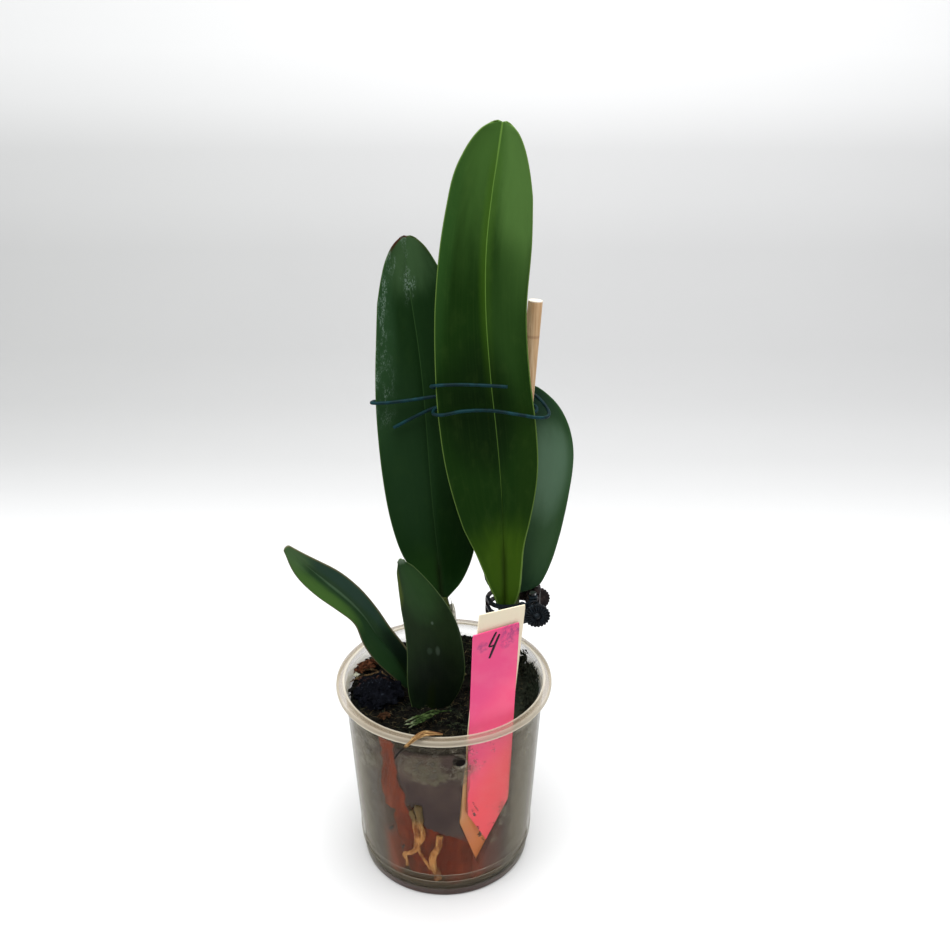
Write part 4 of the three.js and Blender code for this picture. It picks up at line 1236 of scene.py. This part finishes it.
def curl_bract():
    """Dead bract: a thin folded blade, arched over the rim, drawn out to a dark tail."""
    path = through([
        (0.6, -39.4, 83.4), (-2.6, -40.2, 84.5), (-5.9, -40.9, 85), (-9, -43, 84.6), (-11.6, -44.3, 83),
        (-14.5, -44.9, 80.6), (-17, -44.7, 76.8),
    ])
    widths = through([(w, 0, 0) for w in (0.2, 0.5, 0.9, 1.15, 1.25, 1.1, 0.7, 0.4, 0.34, 0.3)])
    bract = flat_grid("curled_bract", 20, 90)
    along, across = [], []
    for vertex in bract.data.vertices:
        s, t = 2 * vertex.co.x, vertex.co.y + 0.5
        ahead = heading(path, t)
        side = ahead.cross(Vector((0.1, -0.75, 0.9))).normalized()
        out = side.cross(ahead).normalized()
        half = widths(t).x * (1 + 0.14 * sin(13 * t + 2 * s))
        curl = (1.7 - 0.9 * ease(0.1, 0.5, t) * ease(0.85, 0.6, t)) * s
        place = path(t) + side * half * sin(curl) + out * half * (cos(curl) - 0.6)
        place += out * 0.15 * sin(12 * s + 5 * t) * ease(0.9, 0.6, t) * ease(0, 0.15, t)
        vertex.co = place * MM
        along.append(t)
        across.append(s)
    mark(bract, "along", along)
    mark(bract, "across", across)
    apply_with(bract, "SOLIDIFY", thickness=0.2 * MM, offset=0)
    clean(bract)
    bpy.ops.object.shade_smooth()
    skin = Finish("golden_bract", rough=0.6, shine=0.15)
    along, across = skin.read("along"), skin.read("across")
    lines = skin.point(skin.times(across, 2.6), skin.times(along, 3.4), 0.0)
    streak = skin.grain(lines, 1.6, detail=5, rough=0.65)
    tone = skin.over((92, 60, 34), (168, 130, 80), streak, 0.38, 0.6)
    tone = skin.over(tone, (226, 192, 134), streak, 0.54, 0.62, 0.9)
    # painted shade: darker red-brown inside the curl, on one side, towards the end away from the tail
    hollow_shade = skin.times(skin.span(across, 0.1, 0.6), skin.span(along, 0.34, 0.14, 0.0, 0.9))
    tone = skin.mix(hollow_shade, tone, (84, 38, 26))
    skin.colour(skin.over(tone, (26, 18, 13), along, 0.7, 0.78))
    skin.relief(streak, 0.0006, 1.0)
    hand_over(bract, skin.material, ["dry_bract"])


curl_bract()


# ---------------- roots and bark behind the wall

def on_wall(degrees, z, inward):
    """A point behind the wall in millimetres; degrees turn from +X."""
    r = wall_radius(z) - WALL_THICK - inward
    return (r * cos(radians(degrees)), r * sin(radians(degrees)), z)


def tan_root():
    """Peeling tan root, paler in streaks, mossy at its upper end and dull at its lower one."""
    root = Finish("tan_root_skin", rough=0.7, shine=0.08)
    cloud = root.clouds(420.0, (1, 1, 0.35), detail=5, rough=0.65)
    tone = root.over((130, 74, 38), (190, 132, 74), cloud, 0.38, 0.62)
    streak = root.clouds(900.0, (1, 1, 0.2), detail=3)
    tone = root.over(tone, (210, 164, 98), streak, 0.58, 0.68, 0.7)
    tone = root.over(tone, (88, 44, 26), streak, 0.4, 0.3, 0.6)
    height = root.axes()[2]
    tone = root.over(tone, (84, 76, 48), height, 0.033, 0.04, 0.85)
    root.colour(root.over(tone, (96, 56, 32), height, 0.018, 0.009, 0.6))
    root.relief(cloud, 0.0006, 1.0)
    return root.material


# For each root its branches: places as degrees from +X and height, then radii at start and end.
ROOTS = {
    "root_forked": [
        ([(-110.4, 42.6), (-109, 37.4), (-107.6, 32), (-107, 27.6), (-107.8, 24)], 1.0, 1.5),
        ([(-107.2, 27), (-109, 22), (-113, 19.4), (-117.4, 17.8), (-116, 14.6), (-116.2, 11.6)], 1.2, 0.7),
        ([(-105.4, 38), (-104.2, 34.6), (-103.2, 31.6), (-104.2, 28.4), (-106.4, 25.4)], 1.3, 1.0),
        ([(-105.6, 45.4), (-105.4, 42), (-104.6, 38.4), (-105.8, 34)], 1.7, 1.3),
        ([(-107.6, 24.4), (-105.6, 20.4), (-102.2, 16.4), (-99.4, 12.6)], 0.8, 0.5),
    ],
    "root_wavy": [
        ([(-92.4, 31), (-93.4, 25), (-97, 20), (-97.4, 15), (-94.8, 10.6), (-94, 7.6)], 1.35, 1.6),
    ],
}


def grow_root(name, branches):
    """Roots pressed flat against the wall, their bark ragged and peeling."""
    parts = []
    for route, first, last in branches:
        path = through([on_wall(a, z, 1.3) for a, z in route])
        parts.append(rod(name + "_branch", path, 1, 16, 90, lambda t: first + (last - first) * t))
    root = join(name + "_live", parts)

    def press(co):
        x, y, z = co / MM
        reach = hypot(x, y)
        turn = atan2(y, x)
        torn = noise.fractal(Vector((40 * turn, z, 2)) / 1.7, 0.9, 2.1, 4)
        turn += 0.010 * torn
        middle = wall_radius(z) - 2.2
        reach = middle + (reach - middle) * 0.5 + 0.45 * noise.noise(Vector((44 * turn, z / 3, 5)))
        reach = min(reach, wall_radius(z) - 1.0)
        return Vector((reach * cos(turn), reach * sin(turn), z + 0.3 * torn)) * MM

    reshape(root, press)
    return root


TAN_ROOT = tan_root()
for name, branches in ROOTS.items():
    hand_over(grow_root(name, branches), TAN_ROOT, [name])


def split_slab(name, rows, inward, thick, ragged):
    """Bark lying along the wall: a grid bent to the wall, ragged at its edges, then made solid."""
    slab = flat_grid(name, 48, 60)
    path = through(rows)
    brim = []
    for vertex in slab.data.vertices:
        z, left, right = path(0.5 - vertex.co.y)
        s = vertex.co.x + 0.5
        left += ragged * noise.noise(Vector((z / 4, 1, 7))) + 0.5 * noise.noise(Vector((z, 3, 7)))
        right += ragged * noise.noise(Vector((z / 4, 5, 2))) + 0.5 * noise.noise(Vector((z, 8, 2)))
        degrees = left + (right - left) * s
        z += ragged * 0.4 * noise.noise(Vector((degrees / 5, z / 30, 3))) * ease(0.35, 0.5, abs(vertex.co.y))
        bump = 0.5 * noise.fractal(Vector((degrees / 6, z / 9, 0)), 0.9, 2.0, 3)
        vertex.co = Vector(on_wall(degrees, z, inward + max(-0.5, bump) + 0.3)) * MM
        brim.append(min(s, 1 - s) * (right - left))
    mark(slab, "brim", brim)
    apply_with(slab, "SOLIDIFY", thickness=thick * MM, offset=-1)
    clean(slab)
    round_off(slab, 60)
    return slab


def red_bark(name, dark, light, shade=(40, 24, 20), brim=None, scale=260.0):
    bark = Finish(name, rough=0.9, shine=0.06)
    grain = bark.grain(bark.place((1, 1, 0.3)), scale, detail=5, rough=0.65)
    cloud = bark.clouds(110.0, detail=4)
    tone = bark.over(dark, light, grain, 0.34, 0.66)
    tone = bark.mix(bark.span(cloud, 0.34, 0.56, 0.5, 0.0), tone, shade)
    if brim:
        ragged = bark.sums("MULTIPLY_ADD", bark.clouds(240.0, detail=4), 2.4, bark.read("brim"))
        tone = bark.over(tone, brim, ragged, 2.6, 1.1, 0.85)
    bark.colour(tone)
    bark.relief(grain, 0.0009, 1.0)
    return bark.material


RED_BARK = red_bark("red_bark", (92, 28, 14), (122, 48, 28), (68, 30, 20), (68, 48, 44))
for name, (rows, inward, thick, ragged) in SLABS.items():
    hand_over(split_slab(name + "_split", rows, inward, thick, ragged), RED_BARK, [name])


# ---------------- loose pieces on the surface

def break_piece(name, centre, size, turn, bumps, levels=4, layers=0.0):
    """A broken lump: a ball of small faces, scaled and dented, its top split into stepped layers."""
    bpy.ops.mesh.primitive_ico_sphere_add(subdivisions=levels, radius=0.5)
    lump = fresh(name)
    spin = Matrix.Rotation(radians(turn), 3, "Z")
    shift = Vector((centre[0], centre[1], 0))
    crests = []
    for vertex in lump.data.vertices:
        co = vertex.co.copy()
        out = co.normalized()
        share = 1 + bumps * noise.fractal(out * 1.9 + shift, 0.8, 2.1, 4)
        share += 0.5 * bumps * noise.noise(out * 7 + shift)
        shaped = Vector((co.x * size[0], co.y * size[1], co.z * size[2])) * share
        wander = 3.4 * noise.noise(shaped / 9 + shift) + 0.9 * noise.noise(shaped / 1.6)
        step = (shaped.y + 0.03 * shaped.x * shaped.x + wander) / 5.2
        tread = step - floor(step)
        crest = ease(0.7, 0.9, tread) * ease(1.0, 0.96, tread)
        shaped.z += layers * (tread - 0.5) * ease(1, 0.93, tread) * ease(-0.5, 0.6, out.z)
        shaped.z += 0.12 * size[2] * noise.noise(shaped / 1.1) * ease(-0.5, 0.4, out.z)
        crests.append(crest * ease(0, 0.4, out.z) * ease(1, 6, shaped.y))
        vertex.co = (spin @ shaped + Vector(centre)) * MM
    mark(lump, "crest", crests)
    clean(lump)
    round_off(lump, 35)
    return lump


def chunk_finish():
    """Wet, nearly black bark with a blue cast, brown along the crests of its layers."""
    bark = Finish("chunk_bark", rough=0.75, shine=0.05)
    grain = bark.clouds(420.0, detail=6, rough=0.7)
    tone = bark.over((3, 4, 8), (14, 16, 23), grain, 0.38, 0.66)
    glint = bark.clouds(800.0, detail=4)
    tone = bark.over(tone, (62, 70, 80), glint, 0.6, 0.68, 0.4)
    crest = bark.times(bark.read("crest"), bark.span(grain, 0.4, 0.56))
    bark.colour(bark.mix(crest, tone, (92, 60, 44)))
    bark.relief(grain, 0.0014, 1.0)
    return bark.material


def shards(name, spots, bumps):
    """Thin splintered flakes lying over one another."""
    return join(name, [break_piece("shard", centre, size, turn, bumps, 4) for centre, size, turn in spots])


hand_over(
    break_piece("bark_chunk_dark", (-27.2, -2.4, 76.2), (18.2, 21, 7.2), 15, 0.26, 5, 2.2),
    chunk_finish(), ["bark_chunk"],
)


def peel_crests(chunk):
    """Brown torn edges of the chunk's layers, as thin ridges that follow its top."""
    ridges = []
    for arc in (
        [(-38.6, 2.6), (-36.8, 4.2), (-34, 5.4), (-30.9, 6.2), (-27.6, 6.3), (-23.3, 5), (-19.4, 2.6)],
        [(-35.4, 9.4), (-33.9, 11), (-31.4, 11.6), (-28.4, 10.6), (-25.3, 8.6)],
    ):
        points = []
        for x, y in arc:
            hit, place, _, _ = chunk.ray_cast((x * MM, y * MM, 0.1), (0, 0, -1))
            points.append((x, y, max(place.z / MM if hit else 0.0, 77.2) + 0.15))
        ridges.append(rod("ridge", through(points), 0.3, 8, 90, lambda t: 0.3 + sin(pi * t) ** 0.6))
    crests = join("chunk_crests", ridges)

    def tear(co):
        where = co / MM
        torn = Vector((noise.noise(where / 1.3), noise.noise(where / 0.9), noise.noise(where / 0.7)))
        return co + torn * 0.5 * MM

    reshape(crests, tear)
    finish = red_bark("crest_brown", (44, 32, 22), (118, 96, 66), (26, 20, 16), scale=900.0)
    hand_over(crests, finish)


peel_crests(bpy.data.objects["bark_chunk_dark"])
crest_shards = [
    ((-34.8, 11.8, 77.8), (4.6, 2.4, 3), 30), ((-33.4, 13.8, 78.4), (5.6, 1.8, 2.4), 18),
    ((-30, 15.2, 78.6), (6, 1.6, 2.2), 4), ((-26.6, 16.2, 78.4), (5, 1.4, 1.8), -8),
    ((-36.2, 9.6, 77.5), (2, 2.8, 2.4), 70), ((-31.8, 12.4, 77.8), (4.6, 1.8, 2), 24),
]
hand_over(
    shards("bark_chip_crest", crest_shards, 0.7),
    red_bark("crest_bark", (36, 18, 12), (128, 80, 54), (20, 13, 10), scale=620.0),
    ["bark_chip_red"],
)
orange_shards = [
    ((-24.2, -17.4, 75.6), (2.8, 1.4, 1.7), 50), ((-22.5, -16.8, 75.7), (2.8, 1.1, 1.4), 8),
    ((-21.6, -17.1, 75.5), (2, 1.2, 1.1), -30), ((-23, -18.2, 75.2), (2.2, 1.1, 1.1), 80),
]
hand_over(
    shards("bark_chip_orange", orange_shards, 0.7),
    red_bark("orange_bark", (36, 25, 17), (98, 68, 46), (24, 18, 12), scale=620.0),
    ["bark_chip_tan"],
)
crumb_white = Finish("mineral_crumb", rough=0.8, shine=0.15)
chalky = crumb_white.span(crumb_white.clouds(900.0), 0.35, 0.65)
crumb_white.colour(crumb_white.mix(chalky, (170, 172, 150), (226, 226, 208)))
star = [
    break_piece("star_arm", (-36.5, 6.4, 78.2), size, turn, 0.4, 3)
    for size, turn in (
        ((3.0, 0.8, 0.9), 10), ((2.4, 0.8, 1.0), 75), ((2.3, 0.8, 0.9), 130), ((1.0, 0.9, 2.4), 30),
    )
]
hand_over(join("mineral_crumb_white", star), crumb_white.material, ["white_crumb"])


# ---------------- stake and wire ties

STAKE_FOOT, STAKE_HEAD, STAKE_RADIUS = (18.6, 5.4, 12), (34.3, 15, 232.7), 2.7
# How far below the head the node ring is.
STAKE_NODE = 13.2


def turn_stake():
    """Round stake, cut off square, with a node ring near its head."""
    foot, head = Vector(STAKE_FOOT), Vector(STAKE_HEAD)
    length = (head - foot).length
    bpy.ops.mesh.primitive_cylinder_add(vertices=40, radius=STAKE_RADIUS, depth=length)
    stake = fresh("stake_round")
    ring_at([-length / 2 + length * k / 40 for k in range(1, 40)])
    apply_with(stake, "BEVEL", width=0.35, segments=3, limit_method="ANGLE")
    along = (head - foot).normalized().to_track_quat("Z", "Y")
    middle = (head + foot) / 2
    node = length / 2 - STAKE_NODE

    def whittle(co):
        slim = 1 - 0.012 * sin(co.z / 17) + 0.035 * exp(-(((co.z - node) / 0.9) ** 2))
        slim *= 0.985 + 0.012 * noise.noise(Vector((co.x / 1.5, co.y / 1.5, co.z / 30)))
        return (along @ Vector((co.x * slim, co.y * slim, co.z)) + middle) * MM

    mark(stake, "up", [v.co.z + length / 2 for v in stake.data.vertices])
    reshape(stake, whittle)
    round_off(stake, 40)
    wood = Finish("pale_stake_wood", rough=0.6, shine=0.15)
    up = wood.read("up")
    grain = wood.clouds(1500.0, (1, 1, 0.035), detail=4, rough=0.6)
    cloud = wood.clouds(90.0, (1, 1, 0.3), detail=3)
    tone = wood.over((180, 142, 102), (212, 182, 144), grain, 0.3, 0.7)
    tone = wood.over(tone, (188, 146, 104), cloud, 0.4, 0.7, 0.35)
    from_node = wood.sums("ABSOLUTE", wood.sums("SUBTRACT", up, length - STAKE_NODE))
    ring = wood.span(from_node, 0.8, 0.2, 0.0, 0.5)
    tone = wood.mix(ring, tone, (150, 108, 78))
    # painted shade: red-brown spots in a band below the head, where the stake shows between the leaves and
    # the wire ties
    shade_spots = wood.span(wood.clouds(420.0, (1, 1, 0.5), detail=3), 0.62, 0.68)
    painted_shade_band = wood.times(wood.band(up, length - 42, length - 33, length - 30, length - 24), shade_spots)
    tone = wood.mix(wood.times(painted_shade_band, 0.8), tone, (120, 44, 34))
    cut = wood.times(wood.span(up, length - 0.7, length - 0.2), 0.9)
    wood.colour(wood.mix(cut, tone, (248, 238, 222)))
    wood.relief(grain, 0.0003, 0.5)
    hand_over(stake, wood.material, ["stake"])


turn_stake()

WIRE_ROUTES = {
    "wire_tie_tall": [
        (24.2, 3, 203.8), (16, 2.8, 204.4), (6, 2.4, 204.8), (-1.2, 2.9, 204.3), (-3.4, 5.2, 203.2),
        (-1.6, 8.4, 201.8), (8, 11.2, 200.4), (20, 13.4, 199.2), (28, 17, 198), (33.4, 17.3, 196.8),
        (37.2, 14.2, 194.8), (39.8, 9.6, 192.2), (39.4, 6.4, 191.4), (36.4, 3.4, 191.8), (28, 2.6, 193.4),
        (18, 2.8, 194.8), (8, 2.6, 194.6), (0.6, 2, 193.4), (-2.6, 3.6, 193.2), (-2.2, 7.2, 193.8),
        (4, 9.4, 195), (12, 10, 196.2),
    ],
    "wire_tie_left": [
        (-18.1, 12.2, 184.7), (-10, 11.9, 189.2), (-2, 11.8, 192.9), (8, 12.6, 193.8), (18, 13.6, 194),
        (26.6, 15.6, 193.6), (31.6, 17.6, 192.8), (35.2, 15.2, 192.2), (35.2, 11.2, 191.6),
        (31.6, 8.7, 191.4), (27.4, 10.2, 191.2), (24.6, 14.6, 191.2), (18, 18.2, 191.4), (6, 19.4, 191.6),
        (-8, 19.6, 192), (-20, 18.4, 193), (-25.6, 16, 193.8), (-26, 13, 194.2), (-21, 12, 194.6),
        (-12, 12.2, 195.6), (-2, 12.4, 197), (8, 13.2, 197.4),
    ],
}
coated = Finish("coated_wire", rough=0.5, shine=0.1)
mottle = coated.span(coated.clouds(240.0), 0.35, 0.7)
coated.colour(coated.mix(mottle, (8, 32, 36), (14, 54, 60)))
coated.relief(coated.clouds(900.0), 0.0002, 0.3)
for name, route in WIRE_ROUTES.items():
    hand_over(rod(name + "_bent", through(route), 0.65, 12, 260), coated.material, [name])


# ---------------- claw clip

def moulded(name, dark, light, gleam):
    """Black moulded plastic, paler where it is scuffed, with painted highlight gleams on the palest scuffs.
    """
    plastic = Finish(name, rough=0.42, shine=0.12)
    scuff_and_gleam = plastic.clouds(500.0, detail=4)
    tone = plastic.over(dark, light, scuff_and_gleam, 0.35, 0.7)
    # painted highlight: gleams where the scuff noise is highest
    plastic.colour(plastic.over(tone, gleam, scuff_and_gleam, 0.62, 0.72, 0.7))
    plastic.relief(scuff_and_gleam, 0.0003, 0.5)
    return plastic.material


BLACK_PLASTIC = moulded("black_moulded_plastic", (9, 13, 17), (22, 30, 36), (66, 76, 84))
BROWN_PLASTIC = moulded("dark_moulded_plastic", (20, 14, 15), (42, 32, 32), (80, 66, 62))
steel = Finish("spring_steel", rough=0.3, Metallic=1.0)
steel.colour(steel.mix(steel.clouds(800.0), (110, 110, 112), (176, 176, 180)))
for node, finish in (
    ("clip_jaw_front", BLACK_PLASTIC), ("clip_jaw_back", BROWN_PLASTIC),
    ("clip_pin", steel.material), ("clip_spring", steel.material),
):
    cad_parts[node].data.materials.clear()
    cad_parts[node].data.materials.append(finish)


PETALS = 22


def mould_flower(name, centre, side, finish, body):
    """Clip flower: fluted petals round a boss, a bead at the end of each."""
    parts = []
    for k in range(PETALS):
        angle = tau * k / PETALS
        out = Vector((cos(angle), 0, sin(angle)))
        turn = out.to_track_quat("X", "Z")
        for label, size, reach, lift in (
            ("petal", (1.55, 0.6, 0.36), 2.95, 0.75), ("bead", (0.62, 0.62, 0.6), 4.6, 0.35),
        ):
            bpy.ops.mesh.primitive_uv_sphere_add(segments=10, ring_count=6, radius=1)
            part = fresh(label)
            middle = Vector(centre) + out * reach + Vector((0, side * lift, 0))
            reshape(part, lambda co: (turn @ Vector([a * b for a, b in zip(co, size)]) + middle) * MM)
            parts.append(part)
    bpy.ops.mesh.primitive_uv_sphere_add(segments=20, ring_count=10, radius=1.25)
    boss = fresh("boss")
    middle = Vector(centre) + Vector((0, side, 0))
    reshape(boss, lambda co: (Vector((co.x, co.y * 0.7, co.z)) + middle) * MM)
    flower = join(name, parts + [boss])
    bpy.ops.object.shade_smooth()
    hand_over(flower, finish, body=body)


mould_flower("clip_flower_front", (36.8, -2.5, 111.9), -1, BLACK_PLASTIC, PLANT)
mould_flower("clip_flower_back", (38.1, 16, 108.6), 1, BROWN_PLASTIC, "clip_jaw")

scroll = [
    rod("scroll", through(route), size, 8, 30)
    for size, route in (
        (0.5, [(32.4, 0.2, 115.2), (31.6, 0, 113.2), (32.4, -0.3, 111.2), (33.8, -0.4, 110.2)]),
        (0.45, [(36.9, 1.6, 115.4), (36, 1.4, 115.9), (34.6, 1.2, 115.6), (33.6, 0.8, 114.2)]),
        (0.85, [(34.4, 1.4, 112.8), (32.4, 1.6, 114), (31, 2.2, 114.4), (30.2, 3.2, 113.2)]),
    )
]
hand_over(join("clip_scroll", scroll), BLACK_PLASTIC)


# ---------------- stage, light and camera

# How far back on the floor, in metres, and the painted light and shade of the paper there: bright at the
# front, darker in the middle, lighter again up the back.
PAPER_SHADING = [
    (0.0, 0.74), (0.24, 0.72), (0.316, 0.62), (0.37, 0.565), (0.432, 0.525), (0.504, 0.51), (0.584, 0.485),
    (0.694, 0.462), (0.786, 0.472), (0.868, 0.484), (0.944, 0.535), (1.014, 0.565), (1.082, 0.69),
    (1.146, 0.77), (1.25, 0.82),
]


# The camera's place in metres, its tilt up from straight down in degrees, and its lens and film width.
CAMERA_PLACE, CAMERA_TILT, LENS, FILM = (0.0125, -0.341, 0.316), 66.9, 37.895, 36
# The paper: its width, how far it runs from front to top, where it starts to bend, and the bend's
# radius in metres and angle in radians.
PAPER_WIDE, PAPER_RUN, PAPER_FRONT, BEND_START, BEND_RADIUS, BEND_ANGLE = 5, 3.2, 0.08, 0.55, 0.5, 1.35


def lay_floor():
    """Seamless paper: flat under the pot, swept up behind it, its tone painted with light and shade from
    front to back and with painted shade towards the left at the back.
    """
    floor = flat_grid("floor", 60, 120)
    depth = []

    def sweep(co):
        run = (co.y + 0.5 - PAPER_FRONT) * PAPER_RUN
        depth.append(run)
        bend = max(0.0, run - BEND_START)
        angle = min(bend / BEND_RADIUS, BEND_ANGLE)
        rest = max(0.0, bend - BEND_RADIUS * BEND_ANGLE)
        y = min(run, BEND_START) + BEND_RADIUS * sin(angle) + rest * cos(BEND_ANGLE)
        z = BEND_RADIUS * (1 - cos(angle)) + rest * sin(BEND_ANGLE)
        return Vector((co.x * PAPER_WIDE, y, z))

    reshape(floor, sweep)
    mark(floor, "depth", depth)
    round_off(floor, 80)
    paper = Finish("pale_paper", rough=0.9, shine=0.1)
    painted_shading = paper.node("ValToRGB")
    painted_shading.color_ramp.elements.remove(painted_shading.color_ramp.elements[0])
    for run, tone in PAPER_SHADING:
        stop = painted_shading.color_ramp.elements.new(min(run / 2, 1))
        stop.color = (tone, tone, tone, 1)
    painted_shading.color_ramp.elements.remove(painted_shading.color_ramp.elements[-1])
    paper.feed(painted_shading.inputs[0], paper.times(paper.read("depth"), 0.5))
    # painted shade: the back of the paper a little darker towards the left
    left = paper.span(paper.axes()[0], 0.15, -0.45, 0.0, 0.1)
    left = paper.times(left, paper.span(paper.read("depth"), 0.3, 0.5))
    tone = paper.mix(left, painted_shading.outputs[0], (120, 124, 116))
    cloud = paper.span(paper.clouds(3.0), 0.3, 0.7, 0.0, 0.02)
    paper.colour(paper.mix(cloud, tone, (238, 238, 236)))
    floor.data.materials.append(paper.material)


def hang_lamp(name, place, aim, width, power, height=None):
    bpy.ops.object.light_add(type="AREA", location=place)
    lamp = bpy.context.object
    lamp.name = name
    lamp.data.shape = "RECTANGLE"
    lamp.data.size = width
    lamp.data.size_y = height or width
    lamp.data.energy = power
    lamp.rotation_euler = (Vector(aim) - Vector(place)).to_track_quat("-Z", "Y").to_euler()


def set_stage():
    lay_floor()
    world = bpy.data.worlds.new("soft_room")
    world.use_nodes = True
    world.node_tree.nodes["Background"].inputs["Color"].default_value = (0.96, 0.98, 1.0, 1)
    world.node_tree.nodes["Background"].inputs["Strength"].default_value = 0.45
    bpy.context.scene.world = world
    hang_lamp("top_softbox", (0.1, -0.1, 1.4), (0, 0.05, 0.1), 1.4, 30)
    hang_lamp("left_softbox", (-1.1, -0.6, 0.9), (0, 0, 0.12), 0.8, 6)
    bpy.ops.object.camera_add(location=CAMERA_PLACE, rotation=(radians(CAMERA_TILT), 0, 0))
    camera = bpy.context.object
    camera.name = "front_view"
    camera.data.lens = LENS
    camera.data.sensor_width = FILM
    camera.data.clip_start = 0.01
    bpy.context.scene.camera = camera
    bpy.context.scene.view_settings.view_transform = "Standard"


set_stage()
